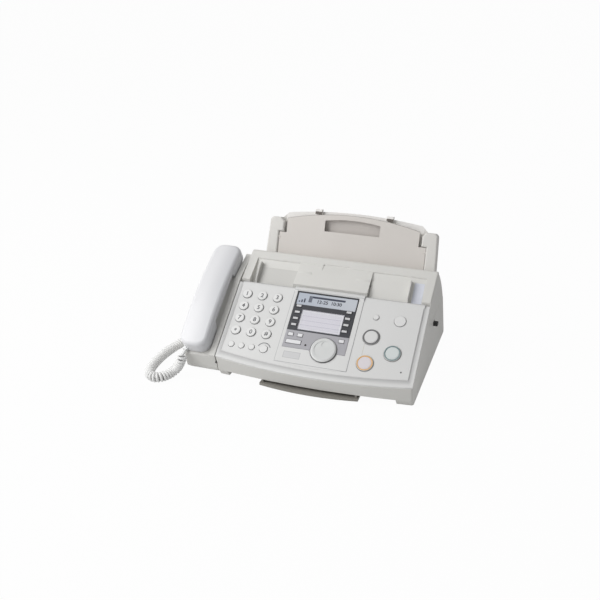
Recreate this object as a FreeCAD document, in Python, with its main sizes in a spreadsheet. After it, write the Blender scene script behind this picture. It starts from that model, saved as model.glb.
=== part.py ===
import FreeCAD, Part
import math
import os
import re
import Sketcher
from FreeCAD import Placement, Rotation, Vector

# Driving dimensions in millimetres and degrees. The case frame has x = 0 in the middle of the panel,
# y = 0 at the panel's front corners and z = 0 on the table.
SIZES = {
    # overall
    "body_width": 335,
    "body_depth": 300.9,
    "handset_zone": 63.5,
    "lever_reach": 8,
    # base case
    "foot_height": 2,
    "floor_under": 14,
    "floor_thick": 3,
    "wall": 3,
    "seam": 0.4,
    "rim_height": 44.4,
    "rim_bow": 11.5,
    "apron_lean": 0.3125,
    "foot_front": 18,
    "foot_bow": 9,
    "rear_step": 4.5,
    "rear_lean": 0.46,
    "part_line": 92,
    "case_top": 140,
    "rail_left": 18.8,
    "rail_right": 26.8,
    "corner_round": 4,
    # front cover, whose frame has y along the slope and z square to it
    "panel_slope": 36.2,
    "panel_length": 150.6,
    "lid": 2.2,
    "lid_gap": 0.3,
    "plateau": 1.6,
    "plateau_side": 8,
    "plateau_front": 11,
    "frame_raise": 0.6,
    "frame_left": -64,
    "frame_right": 58.5,
    "frame_front": 9.5,
    "frame_hump": 5,
    "hump_rise": 2.5,
    "hinge_drop": 5,
    "hinge_pin": 1.5,
    "knuckle": 2.5,
    "pin_clearance": 0.05,
    "skirt": 2.5,
    "skirt_depth": 14,
    "skirt_gap": 0.7,
    # display
    "bezel_left": -58,
    "bezel_right": 50,
    "bezel_front": 35.6,
    "bezel_rear": 142,
    "bezel_floor": 0.4,
    "bezel_thick": 2.6,
    "fit_gap": 0.2,
    "window_left": -55,
    "window_right": 48,
    "window_front": 117,
    "window_rear": 139.6,
    "window_thick": 2.0,
    "card_left": -41.5,
    "card_right": 32.2,
    "card_front": 70.5,
    "card_rear": 108.5,
    "card_thick": 0.5,
    "card_cover": 1.4,
    # keys
    "key_gap": 0.6,
    "key_flange": 1.4,
    "flange_thick": 1.2,
    "flange_gap": 0.3,
    "key_travel": 1.2,
    "pad_radius": 8.2,
    "pad_rise": 2.4,
    "pad_x": -145,
    "pad_s": 123.3,
    "pad_pitch_x": 27.5,
    "pad_pitch_s": 23.6,
    "function_x": -145,
    "function_s": 25.5,
    "function_pitch": 18.2,
    "function_radius": 5,
    "redial_x": -87.4,
    "redial_radius": 6.8,
    "key_rise": 1.6,
    "station_left_x": -48.5,
    "station_right_x": 39,
    "station_s": 78,
    "station_pitch": 11.9,
    "station_length": 9.4,
    "station_width": 4.8,
    "menu_left_x": -48.6,
    "menu_mid_x": -32.2,
    "menu_right_x": 38.7,
    "menu_s": 59.6,
    "menu_length": 9,
    "menu_width": 6,
    "wide_x": -40.5,
    "wide_s": 46.4,
    "wide_length": 26,
    "wide_width": 7,
    "web_width": 6,
    "dial_x": 13.3,
    "dial_s": 39.1,
    "dial_radius": 21.5,
    "dial_rise": 5.2,
    "dial_gap": 1.5,
    "dial_hub": 5,
    "small_x": 84.9,
    "small_s": 112.6,
    "small_radius": 4.8,
    "speaker_x": 125.3,
    "speaker_s": 111.6,
    "speaker_radius": 9.6,
    "ring_radius": 14,
    "ring_groove": 1.2,
    "ring_rise": 2.2,
    "fax_x": 84.8,
    "fax_s": 75.7,
    "stop_s": 28.3,
    "copy_x": 124.8,
    "copy_s": 52.3,
    "microphone_x": 144.6,
    "microphone_s": 22.9,
    "board_thick": 1.6,
    "board_drop": 3.8,
    "board_post": 3,
    # back cover and document tray
    "ridge_y": 179,
    "ridge_z": 164,
    "ridge_round": 6,
    "cover_wall": 2.6,
    "recess_half": 152,
    "recess_back": 169,
    "recess_drop": 16.8,
    "recess_step": 2.6,
    "dip_x": -7.5,
    "dip_width": 46,
    "dip_depth": 2.2,
    "hinge_eye": 4.5,
    "eye_width": 16,
    "eye_x": 105,
    "cover_pin": 2,
    "guide_mid": -7,
    "guide_half": 135,
    "guide_base": 68,
    "guide_length": 44,
    "guide_thick": 1.3,
    "guide_fin": 12,
    "guide_travel": 54,
    "guide_plate": 36.5,
    "bridge_half": 65.5,
    "slot_width": 4,
    # paper tray, whose frame leans back
    "tray_x": 4,
    "tray_y": 205,
    "tray_z": 150,
    "tray_lean": 20,
    "tray_foot": -30,
    "shelf_reach": 26,
    "tray_half": 155,
    "tray_back": 9,
    "tray_thick": 2.5,
    "ear_inner": 125,
    "ear_top": 71,
    "ear_taper": 3,
    "ear_front": 4,
    "ear_round": 7,
    "ear_notch": 9,
    "rim_edge": 81,
    "rim_crown": 90,
    "plate_half": 120,
    "plate_thick": 2.2,
    "plate_edge": 71,
    "plate_crown": 86,
    "plate_foot": -6,
    "plate_shoulder": 45,
    "plate_pivot": 36,
    "pivot_pin": 2,
    "handle_half": 50,
    "handle_low": 54,
    "handle_high": 76,
    # exit guide
    "exit_left": -88,
    "exit_right": 81,
    "exit_front": -1.3,
    "exit_bow": 8,
    "exit_back": 120,
    "exit_top": 8.5,
    "exit_thick": 4.5,
    "exit_slot": 12,
    # handset and cradle, whose frame lies along the handset
    "cradle_slope": 33.6,
    "cradle_height": 40,
    "cradle_width": 57.7,
    "cradle_gap": 0.8,
    "cradle_strip": 10,
    "cradle_length": 192,
    "cradle_rear": 205,
    "cradle_foot": 25,
    "handset_width": 51,
    "handset_length": 210,
    "handset_shift": 6,
    "mouth_start": 8,
    "mouth_end": 42,
    "ear_start": 160,
    "ear_end": 203,
    "grip_start": 53,
    "grip_end": 149,
    "mouth_rise": 25.5,
    "ear_rise": 21,
    "end_part": 11,
    "face_low": 1.5,
    "cup_drop": 6,
    "cup_half": 22,
    "cup_round": 9,
    "cup_gap": 0.4,
    "well_side": 1,
    "handle_gap": 21,
    "shell_part": 4,
    "handset_crown": 34,
    "handset_end": 18,
    "edge_round": 7,
    "hook_radius": 3,
    "hook_rise": 3,
    # rollers, gears and frame
    "frame_half": 125,
    "frame_thick": 2.5,
    "shaft": 4,
    "shaft_clearance": 0.05,
    "gear_module": 1,
    "gear_width": 7,
    "gear_gap": 0.8,
    "gear_slack": 0.2,
    "tooth_tip": 0.9,
    "tooth_root": 1.25,
    "tooth_play": 0.1,
    "pinion_teeth": 12,
    "idler_teeth": 40,
    "platen_teeth": 28,
    "feed_teeth": 24,
    "takeup_teeth": 24,
    "pickup_teeth": 33,
    "idler_y": 140,
    "idler_z": 73,
    "pinion_angle": 202.6,
    "platen_angle": -42.7,
    "feed_angle": 146.8,
    "takeup_angle": 28.6,
    "pickup_angle": 33.2,
    "platen_radius": 11,
    "feed_radius": 9,
    "pickup_radius": 12,
    "film_radius": 14,
    "takeup_radius": 9,
    "supply_y": 222,
    "supply_z": 58,
    "motor_radius": 20,
    "motor_length": 24,
    "head_depth": 14,
    "sensor_depth": 14,
    "sensor_height": 12,
    # boards and sockets
    "main_z": 24,
    "main_half": 118,
    "main_front": 24,
    "main_length": 76,
    "post_radius": 4,
    "screw_radius": 1.5,
    "screw_head": 3.2,
    "socket_level": 34,
    "inlet_x": 142,
    "inlet_width": 26,
    "inlet_height": 20,
    "jack_x": -140,
    "jack_width": 30,
    "jack_height": 16,
    "socket_depth": 14,
    "power_length": 90,
    "power_height": 28,
    "lever_y": 162,
    "lever_z": 75.5,
    "lever_length": 8,
    "lever_height": 6,
    "lever_travel": 6,
    # curly cord
    "cord_wire": 3.8,
    "cord_radius": 5.4,
    "cord_pitch": 7,
    "cord_y": 98,
    "cord_z": 20,
    "plug_length": 12,
    "plug_width": 8,
    "plug_height": 5.4,
    "plug_proud": 2,
    "plug_x": -15.5,
    "plug_n": 6,
}

doc = FreeCAD.newDocument("fax_machine")
dims = doc.addObject("Spreadsheet::Sheet", "dims")
for row, (alias, size) in enumerate(SIZES.items(), 1):
    dims.set(f"A{row}", alias)
    dims.set(f"B{row}", str(size))
    dims.setAlias(f"B{row}", alias)
doc.recompute()


def tie(text):
    """Turns plain size names into references to the sheet's cells."""
    return re.sub(r"[a-z_]+", lambda word: f"dims.{word[0]}" if word[0] in SIZES else word[0], str(text))


def value(text):
    return float(dims.evalExpression(tie(text)))


# Places that several pieces share, as expressions of the sizes above.
RIM_Y = "(rim_bow / (1 + apron_lean * tan(panel_slope)))"
REAR_FOOT = f"(body_depth - {RIM_Y})"
HINGE_S = "(panel_length - hinge_drop - plateau)"
HINGE_Y = f"({HINGE_S} * cos(panel_slope) + hinge_drop * sin(panel_slope))"
HINGE_Z = f"(rim_height + {HINGE_S} * sin(panel_slope) - hinge_drop * cos(panel_slope))"
BACK_Y = f"({HINGE_Y} + hinge_drop + plateau + seam)"
BACK_Z = f"(rim_height + {BACK_Y} * tan(panel_slope) - recess_step)"
REAR_TOP = f"({REAR_FOOT} - rear_step - (part_line - floor_under) * rear_lean)"
FLOOR_TOP = "(floor_under + floor_thick)"
UNDERSIDE = "(plateau - lid)"
COVER_PIN_Z = "(part_line - cover_pin / 2)"
CRADLE_FOOT_X = "(-body_width / 2 - cradle_width * 0.75)"
CRADLE_FEET = ("(cradle_foot + foot_front)", "(cradle_rear - foot_front)")
BEZEL_TOP = "(bezel_floor + bezel_thick)"
FRAME_TOP = "(plateau + frame_raise)"

center_x = value("(handset_zone - lever_reach) / 2")
corner_y = value(f"{RIM_Y} - body_depth / 2")
CASE = Placement(Vector(center_x, corner_y, 0), Rotation())


def frame_at(x, y, z, tilt):
    """A frame in the case, turned about the x axis so that its y axis climbs by the tilt."""
    base = CASE.Base + Vector(value(x), value(y), value(z))
    return Placement(base, Rotation(Vector(1, 0, 0), value(tilt)))


PANEL = frame_at("0", "0", "rim_height", "panel_slope")
TRAY = frame_at("tray_x", "tray_y", "tray_z", "-tray_lean")
HANDSET = frame_at(
    "handset_width / 2 - body_width / 2 - handset_zone",
    "handset_shift * cos(cradle_slope)",
    "cradle_height + handset_shift * sin(cradle_slope)",
    "cradle_slope",
)
REAR = frame_at("0", f"{REAR_FOOT} - rear_step - (socket_level - floor_under) * rear_lean", "socket_level",
                "atan(rear_lean)")


def body_in(label, frame):
    body = doc.addObject("PartDesign::Body", label)
    body.Label = label
    body.Placement = frame
    return body


def sketch_on(body, plane, level="0", tilt="0"):
    """A sketch on one of the body's own planes, raised to a level and turned about its own x axis."""
    sketch = body.newObject("Sketcher::SketchObject", f"{body.Name}_sketch")
    support = [feature for feature in body.Origin.OriginFeatures if feature.Role == plane + "_Plane"]
    sketch.AttachmentSupport = [(support[0], "")]
    sketch.MapMode = "FlatFace"
    sketch.AttachmentOffset = Placement(Vector(), Rotation(Vector(1, 0, 0), value(tilt)))
    sketch.setExpression("AttachmentOffset.Base.z", tie(level))
    return sketch


def pin_point(sketch, shape, end, x, y):
    """Holds one end of a sketch element at a place given by two expressions."""
    for kind, place in (("DistanceX", x), ("DistanceY", y)):
        index = sketch.addConstraint(Sketcher.Constraint(kind, -1, 1, shape, end, value(place)))
        sketch.setExpression(f"Constraints[{index}]", tie(place))


def end_at(sketch, shape, point):
    """Which end of a sketch element lies at the point."""
    return min((1, 2), key=lambda end: sketch.getPoint(shape, end).distanceToPoint(point))


def outline(sketch, corners):
    """A closed outline through the corners; a corner with a third entry leaves along an arc through it."""
    points = [Vector(value(corner[0]), value(corner[1]), 0) for corner in corners]
    count = len(corners)
    edges = []
    for index, corner in enumerate(corners):
        start, stop = points[index], points[(index + 1) % count]
        if len(corner) == 3:
            middle = Vector(value(corner[2][0]), value(corner[2][1]), 0)
            edge = sketch.addGeometry(Part.Arc(start, middle, stop), False)
            mark = sketch.addGeometry(Part.Point(middle), True)
            pin_point(sketch, mark, 1, *corner[2])
            sketch.addConstraint(Sketcher.Constraint("PointOnObject", mark, 1, edge))
        else:
            edge = sketch.addGeometry(Part.LineSegment(start, stop), False)
        edges.append(edge)
    for index, corner in enumerate(corners):
        edge, before = edges[index], edges[index - 1]
        here = end_at(sketch, edge, points[index])
        sketch.addConstraint(
            Sketcher.Constraint("Coincident", before, end_at(sketch, before, points[index]), edge, here)
        )
        pin_point(sketch, edge, here, corner[0], corner[1])


def box_outline(sketch, x_low, x_high, y_low, y_high):
    outline(sketch, [(x_low, y_low), (x_high, y_low), (x_high, y_high), (x_low, y_high)])


def rounded(sketch, x_low, x_high, y_low, y_high, radius):
    """A rectangle with round corners."""
    bite = f"({radius} * (1 - sqrt(0.5)))"
    corners = [
        (f"{x_low} + {radius}", y_low),
        (f"{x_high} - {radius}", y_low, (f"{x_high} - {bite}", f"{y_low} + {bite}")),
        (x_high, f"{y_low} + {radius}"),
        (x_high, f"{y_high} - {radius}", (f"{x_high} - {bite}", f"{y_high} - {bite}")),
        (f"{x_high} - {radius}", y_high),
        (f"{x_low} + {radius}", y_high, (f"{x_low} + {bite}", f"{y_high} - {bite}")),
        (x_low, f"{y_high} - {radius}"),
        (x_low, f"{y_low} + {radius}", (f"{x_low} + {bite}", f"{y_low} + {bite}")),
    ]
    outline(sketch, corners)


def ring(sketch, x, y, radius):
    center = Vector(value(x), value(y), 0)
    circle = sketch.addGeometry(Part.Circle(center, Vector(0, 0, 1), value(radius)), False)
    pin_point(sketch, circle, 3, x, y)
    index = sketch.addConstraint(Sketcher.Constraint("Radius", circle, value(radius)))
    sketch.setExpression(f"Constraints[{index}]", tie(radius))


def feature(body, kind, sketch, length, both=False, back=False):
    """A pad or pocket of a sketch; no length means through everything."""
    made = body.newObject(f"PartDesign::{kind}", f"{body.Name}_{kind.lower()}")
    made.Profile = sketch
    if length is None:
        made.Type = "ThroughAll"
    else:
        made.setExpression("Length", tie(length))
    if both:
        made.SideType = "Symmetric"
    made.Reversed = back
    return made


def pad(body, sketch, length, both=False, back=False):
    return feature(body, "Pad", sketch, length, both, back)


def pocket(body, sketch, length=None, both=False, back=False):
    return feature(body, "Pocket", sketch, length, both, back)


def loft(body, kind, sketches):
    made = body.newObject(f"PartDesign::{kind}Loft", f"{body.Name}_loft")
    made.Profile = sketches[0]
    made.Sections = sketches[1:]
    made.Ruled = True
    return made


def soften(body, radius, chosen, kind="Fillet"):
    """Rounds or chamfers the edges of the body that the test picks."""
    doc.recompute()
    tip = body.Tip
    names = [f"Edge{number}" for number, edge in enumerate(tip.Shape.Edges, 1) if chosen(edge)]
    made = body.newObject(f"PartDesign::{kind}", f"{body.Name}_{kind.lower()}")
    made.Base = (tip, names)
    made.setExpression("Radius" if kind == "Fillet" else "Size", tie(radius))
    return made


def top_edge(edge, level):
    return abs(edge.BoundBox.ZMin - level) < 1e-4 and abs(edge.BoundBox.ZMax - level) < 1e-4


def plan_section(body, level, front, bow, rear, inset):
    """A level slice of the case: straight sides and back, bowed front."""
    sketch = sketch_on(body, "XY", level)
    side = f"(body_width / 2 - {inset})"
    corners = [
        (f"-{side}", front, ("0", f"{front} - {bow}")),
        (side, front),
        (side, rear),
        (f"-{side}", rear),
    ]
    outline(sketch, corners)
    return sketch


def apron_at(level):
    return f"((rim_height - {level}) * apron_lean)"


def rear_at(level):
    return f"({REAR_FOOT} - rear_step - ({level} - floor_under) * rear_lean)"


def make_base_case():
    base = body_in("base_case", CASE)
    outer = [
        plan_section(base, "foot_height", "foot_front", "foot_bow", REAR_FOOT, "0"),
        plan_section(base, "floor_under", apron_at("floor_under"), "rim_bow", rear_at("floor_under"), "0"),
        plan_section(base, "case_top", apron_at("case_top"), "rim_bow", rear_at("case_top"), "0"),
    ]
    loft(base, "Additive", outer)
    # the room inside
    inner = [
        plan_section(base, level, f"{apron_at(level)} + wall", "rim_bow", f"{rear_at(level)} - wall", "wall")
        for level in (FLOOR_TOP, "(case_top + wall)")
    ]
    loft(base, "Subtractive", inner)
    front_side = value("body_width / 2")
    rear_middle = value("body_depth / 2")
    soften(
        base,
        "corner_round",
        lambda edge: edge.BoundBox.ZLength > 5
        and abs(abs(edge.CenterOfMass.x) - front_side) < 1
        and edge.CenterOfMass.y < rear_middle
        and edge.BoundBox.YLength < edge.BoundBox.ZLength,
    )
    # above the panel's plane, round the front hinge knuckle and above the parting line of the back cover
    sketch = sketch_on(base, "YZ")
    lowered = "(lid + lid_gap) / cos(panel_slope)"
    outline(
        sketch,
        [
            ("-body_depth / 4", f"rim_height - body_depth / 4 * tan(panel_slope) - {lowered}"),
            (
                f"{HINGE_Y} - knuckle * sin(panel_slope)",
                f"{HINGE_Z} + knuckle * cos(panel_slope)",
                (f"{HINGE_Y} + knuckle * cos(63)", f"{HINGE_Z} + knuckle * sin(63)"),
            ),
            (f"{HINGE_Y} + knuckle", HINGE_Z),
            (f"{BACK_Y} - seam", HINGE_Z),
            (f"{BACK_Y} - seam", "part_line"),
            ("body_depth * 1.2", "part_line"),
            ("body_depth * 1.2", "case_top * 2"),
            ("-body_depth / 4", "case_top * 2"),
        ],
    )
    pocket(base, sketch, "body_width * 2", both=True)
    # the tunnel between the side rails
    sketch = sketch_on(base, "XY", "floor_under")
    left, right = "rail_left - body_width / 2", "body_width / 2 - rail_right"
    box_outline(sketch, left, right, "-body_depth / 4", "body_depth * 1.2")
    pocket(base, sketch, "floor_under", back=False)
    # the slot that lets paper down to the exit guide
    sketch = sketch_on(base, "XY", "floor_under")
    box_outline(sketch, "exit_left + wall * 2", "exit_right - wall * 2", "exit_back - exit_slot", "exit_back")
    pocket(base, sketch, "floor_thick * 2", back=True)
    # posts and screw holes for the main board
    sketch = sketch_on(base, "XY", FLOOR_TOP)
    for x, y in board_posts():
        ring(sketch, x, y, "post_radius")
    pad(base, sketch, f"main_z - {FLOOR_TOP}")
    sketch = sketch_on(base, "XY", "floor_under")
    for x, y in board_posts():
        ring(sketch, x, y, "screw_radius + shaft_clearance")
    pocket(base, sketch, "main_z", back=True)
    # blind holes for the front cover's hinge pins
    for sign in ("", "-"):
        sketch = sketch_on(base, "YZ", f"{sign}(body_width / 2 - wall)")
        ring(sketch, HINGE_Y, HINGE_Z, "hinge_pin + pin_clearance")
        pocket(base, sketch, "wall * 0.7", back=(sign == ""))
    # notches for the back cover's hinge eyes, and the pins across them
    for sign in ("", "-"):
        sketch = sketch_on(base, "YZ", f"{sign}eye_x")
        reach = "(hinge_eye + lid_gap * 2)"
        below = f"{COVER_PIN_Z} - {reach}"
        box_outline(sketch, f"{REAR_TOP} - {reach}", f"{REAR_TOP} + {reach}", below, "case_top")
        pocket(base, sketch, "eye_width + lid_gap * 2", both=True)
    for sign in ("", "-"):
        sketch = sketch_on(base, "YZ", f"{sign}eye_x")
        ring(sketch, REAR_TOP, COVER_PIN_Z, "cover_pin")
        pad(base, sketch, "eye_width + wall * 2", both=True)
    # sockets in the rear wall, square to it
    sketch = sketch_on(base, "XZ", f"-{rear_at('0')}", "atan(rear_lean)")
    along = "socket_level / cos(atan(rear_lean))"
    for part in ("inlet", "jack"):
        box_outline(
            sketch,
            f"{part}_x - {part}_width / 2 - lid_gap",
            f"{part}_x + {part}_width / 2 + lid_gap",
            f"{along} - {part}_height / 2 - lid_gap",
            f"{along} + {part}_height / 2 + lid_gap",
        )
    pocket(base, sketch, "wall * 4", both=True)
    # slot for the release lever
    sketch = sketch_on(base, "YZ", "body_width / 2 + wall")
    box_outline(
        sketch,
        "lever_y - lid_gap",
        "lever_y + lever_length + lever_travel + lid_gap",
        "lever_z - lid_gap",
        "lever_z + lever_height + lid_gap",
    )
    pocket(base, sketch, "wall * 3")


def board_posts():
    """Where the main board stands on the floor."""
    return [
        (f"{side}(main_half - post_radius * 1.5)", f"main_front + {along}")
        for side in ("", "-")
        for along in ("post_radius * 1.5", "main_length - post_radius * 1.5")
    ]


def make_main_board():
    board = body_in("main_board", CASE)
    sketch = sketch_on(board, "XY", "main_z")
    box_outline(sketch, "-main_half", "main_half", "main_front", "main_front + main_length")
    pad(board, sketch, "board_thick")
    sketch = sketch_on(board, "XY", "main_z")
    for x, y in board_posts():
        ring(sketch, x, y, "screw_radius + shaft_clearance")
    pocket(board, sketch, "board_thick * 2", back=True)
    # chips, a connector and capacitors
    sketch = sketch_on(board, "XY", "main_z + board_thick")
    middle = "main_front + main_length / 2"
    for x, half in (("-main_half / 2", "main_length / 6"), ("main_half / 8", "main_length / 5")):
        box_outline(sketch, f"{x} - {half}", f"{x} + {half}", f"{middle} - {half}", f"{middle} + {half}")
    pad(board, sketch, "board_thick * 1.5")
    sketch = sketch_on(board, "XY", "main_z + board_thick")
    for step in ("0", "1", "2"):
        ring(sketch, f"main_half * 0.6 + post_radius * 3 * {step}", middle, "post_radius")
    pad(board, sketch, "post_radius * 2.5")


def make_case_screws():
    """Pan-head screws that come up through the floor and the board's posts."""
    screws = []
    for x, y in board_posts():
        head = doc.addObject("Part::Cylinder", "screw_head")
        head.setExpression("Radius", tie("screw_head"))
        head.setExpression("Height", tie("screw_radius"))
        shank = doc.addObject("Part::Cylinder", "screw_shank")
        shank.setExpression("Radius", tie("screw_radius"))
        shank.setExpression("Height", tie("main_z + board_thick - floor_under"))
        spot = CASE.Base + Vector(value(x), value(y), value("floor_under"))
        shank.Placement = Placement(spot, Rotation())
        head.Placement = Placement(spot - Vector(0, 0, value("screw_radius")), Rotation())
        screw = doc.addObject("Part::Fuse", "screw")
        screw.Base = head
        screw.Tool = shank
        screws.append(screw)
    group(screws, "case_screws")


def group(pieces, label):
    """Separate solids that share one node."""
    made = doc.addObject("Part::Compound", label)
    made.Links = pieces
    made.Label = label
    return made


def make_rubber_feet():
    places = [
        ("body_width / 2 - rail_right / 2", "foot_front * 2.2"),
        ("body_width / 2 - rail_right / 2", f"{REAR_FOOT} - foot_front"),
        ("rail_left / 2 - body_width / 2", "foot_front * 2.2"),
        ("rail_left / 2 - body_width / 2", f"{REAR_FOOT} - foot_front"),
        (CRADLE_FOOT_X, CRADLE_FEET[0]),
        (CRADLE_FOOT_X, CRADLE_FEET[1]),
    ]
    feet = []
    for x, y in places:
        foot = doc.addObject("Part::Cone", "foot")
        foot.setExpression("Radius1", tie("foot_height * 3"))
        foot.setExpression("Radius2", tie("foot_height * 3.5"))
        foot.setExpression("Height", tie("foot_height"))
        foot.Placement = Placement(CASE.Base + Vector(value(x), value(y), 0), Rotation())
        feet.append(foot)
    group(feet, "rubber_feet")


def make_exit_guide():
    guide = body_in("exit_guide", CASE)
    sketch = sketch_on(guide, "XY", "exit_top - exit_thick")
    middle = "(exit_left + exit_right) / 2"
    corners = [
        ("exit_left", "exit_front", (middle, "exit_front - exit_bow")),
        ("exit_right", "exit_front"),
        ("exit_right - wall", "exit_back"),
        ("exit_left + wall", "exit_back"),
    ]
    outline(sketch, corners)
    pad(guide, sketch, "exit_thick")
    # cheeks that carry it from the floor
    sketch = sketch_on(guide, "XY", "exit_top")
    box_outline(sketch, "exit_left + wall", "exit_left + wall * 2", "exit_front + wall", "exit_back - wall")
    box_outline(sketch, "exit_right - wall * 2", "exit_right - wall", "exit_front + wall", "exit_back - wall")
    pad(guide, sketch, "floor_under - exit_top")
    # ribs that hold the paper off the plate
    sketch = sketch_on(guide, "XY", "exit_top")
    for step in range(-2, 3):
        spot = f"({middle} + (exit_right - exit_left) / 6 * {step})"
        box_outline(sketch, f"{spot} - seam", f"{spot} + seam", "exit_front + wall", "exit_back - wall")
    pad(guide, sketch, "seam * 2")


def make_front_cover():
    cover = body_in("front_cover", PANEL)
    side = "(body_width / 2)"
    sketch = sketch_on(cover, "XY", "-lid")
    bow = "rim_bow / (cos(panel_slope) + apron_lean * sin(panel_slope))"
    lid_corners = [
        (f"-{side}", "0", ("0", f"-{bow}")),
        (side, "0"),
        (side, HINGE_S),
        (f"-{side}", HINGE_S),
    ]
    outline(sketch, lid_corners)
    pad(cover, sketch, "lid")
    # raised face inside the rim
    inner = f"({side} - plateau_side)"
    sketch = sketch_on(cover, "XY", "-lid / 2")
    face_corners = [
        (f"-{inner}", "plateau_front", ("0", f"plateau_front - {bow}")),
        (inner, "plateau_front"),
        (inner, HINGE_S),
        (f"-{inner}", HINGE_S),
    ]
    outline(sketch, face_corners)
    pad(cover, sketch, "plateau + lid / 2")
    soften(
        cover,
        "plateau * 0.9",
        lambda edge: top_edge(edge, value("plateau")) and edge.CenterOfMass.y < value(HINGE_S) - 1,
        "Chamfer",
    )
    soften(
        cover,
        "lid * 0.8",
        lambda edge: top_edge(edge, 0) and edge.CenterOfMass.y < 0,
    )
    # outlined plate in the middle
    sketch = sketch_on(cover, "XY", "0")
    hump = "(frame_left + frame_right) / 2"
    frame_corners = [
        ("frame_left", "frame_front", (hump, "frame_front - frame_hump")),
        ("frame_right", "frame_front"),
        ("frame_right", HINGE_S),
        ("frame_left", HINGE_S),
    ]
    outline(sketch, frame_corners)
    pad(cover, sketch, FRAME_TOP)
    # rounded rear edge about the hinge axis: full between the side walls, only the lid over them
    sketch = sketch_on(cover, "YZ")
    ring(sketch, HINGE_S, "-hinge_drop", "hinge_drop + plateau")
    pad(cover, sketch, f"{inner} * 2", both=True)
    sketch = sketch_on(cover, "YZ", hump)
    ring(sketch, HINGE_S, "-hinge_drop", "hinge_drop + plateau + hump_rise")
    pad(cover, sketch, "frame_right - frame_left", both=True)
    sketch = sketch_on(cover, "YZ")
    chord = "sqrt(hinge_drop * hinge_drop - (hinge_drop - lid) * (hinge_drop - lid))"
    bend = (f"{HINGE_S} + hinge_drop * cos(60)", "hinge_drop * (sin(60) - 1)")
    outline(
        sketch,
        [
            (f"{HINGE_S} - lid", "-lid"),
            (f"{HINGE_S} + {chord}", "-lid", bend),
            (HINGE_S, "0"),
            (f"{HINGE_S} - lid", "0"),
        ],
    )
    pad(cover, sketch, "body_width", both=True)
    # hollow underside
    sketch = sketch_on(cover, "XY", "-lid")
    box_outline(
        sketch,
        f"-({inner} - lid)",
        f"{inner} - lid",
        "plateau_front",
        f"{HINGE_S} - hinge_drop - plateau - lid",
    )
    pocket(cover, sketch, "plateau", back=True)
    # side skirts and hinge pins
    outer = "(body_width / 2 - wall - skirt_gap)"
    for sign in ("", "-"):
        sketch = sketch_on(cover, "YZ", f"{sign}{outer}")
        outline(
            sketch,
            [
                ("plateau_front * 2", "-lid / 2"),
                ("plateau_front * 3", "-skirt_depth"),
                (f"{HINGE_S} - hinge_drop", "-skirt_depth"),
                (f"{HINGE_S} + hinge_drop - lid", "-hinge_drop"),
                (f"{HINGE_S} + hinge_drop - lid", "-lid / 2"),
            ],
        )
        pad(cover, sketch, "skirt", back=(sign == ""))
        sketch = sketch_on(cover, "YZ", f"{sign}({outer} - skirt)")
        ring(sketch, HINGE_S, "-hinge_drop", "hinge_pin")
        pad(cover, sketch, "skirt + skirt_gap + wall * 0.6", back=(sign == "-"))
    # seat for the display bezel and the ring round the dial
    above = f"({FRAME_TOP} + hump_rise)"
    sketch = sketch_on(cover, "XY", above)
    box_outline(
        sketch,
        "bezel_left - fit_gap",
        "bezel_right + fit_gap",
        "bezel_front - fit_gap",
        "bezel_rear + fit_gap",
    )
    pocket(cover, sketch, f"{above} - bezel_floor")
    sketch = sketch_on(cover, "XY", above)
    ring(sketch, "dial_x", "dial_s", "dial_radius + dial_gap")
    pocket(cover, sketch, f"{above} - bezel_floor")
    # openings for the keys, the dial's hub and the microphone
    sketch = sketch_on(cover, "XY", above)
    for name, x, s, radius, rise in round_keys():
        ring(sketch, x, s, f"{radius} + key_gap")
    for x, s, radius in function_caps():
        ring(sketch, x, s, f"{radius} + key_gap")
    for x, s, length, width in station_caps("left") + station_caps("right") + menu_caps():
        box_cap(sketch, x, s, length, width, "key_gap")
    ring(sketch, "dial_x", "dial_s", "dial_hub + shaft_clearance")
    ring(sketch, "microphone_x", "microphone_s", "seam * 2")
    pocket(cover, sketch)
    # posts that carry the panel board
    sketch = sketch_on(cover, "XY", f"-{BOARD_DROP}")
    for x, s in panel_posts():
        ring(sketch, x, s, "board_post")
    pad(cover, sketch, BOARD_DROP)


BOARD_DROP = "(lid - plateau + board_drop + key_travel)"


def panel_posts():
    """Places between the keys where the panel board is held."""
    left = "pad_x + pad_pitch_x / 2"
    right = "(fax_x + copy_x) / 2"
    return [
        (left, "pad_s - pad_pitch_s / 2"),
        (left, "pad_s - pad_pitch_s * 2.5"),
        (right, "stop_s + board_post * 2"),
        (right, "fax_s + ring_radius + board_post * 2"),
    ]


def box_cap(sketch, x, s, length, width, gap):
    box_outline(
        sketch,
        f"{x} - {length} / 2 - {gap}",
        f"{x} + {length} / 2 + {gap}",
        f"{s} - {width} / 2 - {gap}",
        f"{s} + {width} / 2 + {gap}",
    )


def round_keys():
    """Name, place, radius and rise of each round key that has a node of its own."""
    names = ("1", "2", "3", "4", "5", "6", "7", "8", "9", "star", "0", "hash")
    keys = [
        (
            f"key_{name}",
            f"(pad_x + pad_pitch_x * {index % 3})",
            f"(pad_s - pad_pitch_s * {index // 3})",
            "pad_radius",
            "pad_rise",
        )
        for index, name in enumerate(names)
    ]
    keys.append(("menu_round_key", "small_x", "small_s", "small_radius", "key_rise"))
    keys.append(("speaker_key", "speaker_x", "speaker_s", "speaker_radius", "key_rise"))
    keys.append(("fax_button", "fax_x", "fax_s", "ring_radius", "ring_rise"))
    keys.append(("stop_button", "fax_x", "stop_s", "ring_radius", "ring_rise"))
    keys.append(("copy_button", "copy_x", "copy_s", "ring_radius", "ring_rise"))
    return keys


def function_caps():
    caps = [(f"(function_x + function_pitch * {step})", "function_s", "function_radius") for step in range(3)]
    return caps + [("redial_x", "function_s", "redial_radius")]


def station_caps(side):
    return [
        (f"station_{side}_x", f"(station_s + station_pitch * {step})", "station_length", "station_width")
        for step in range(4)
    ]


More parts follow.
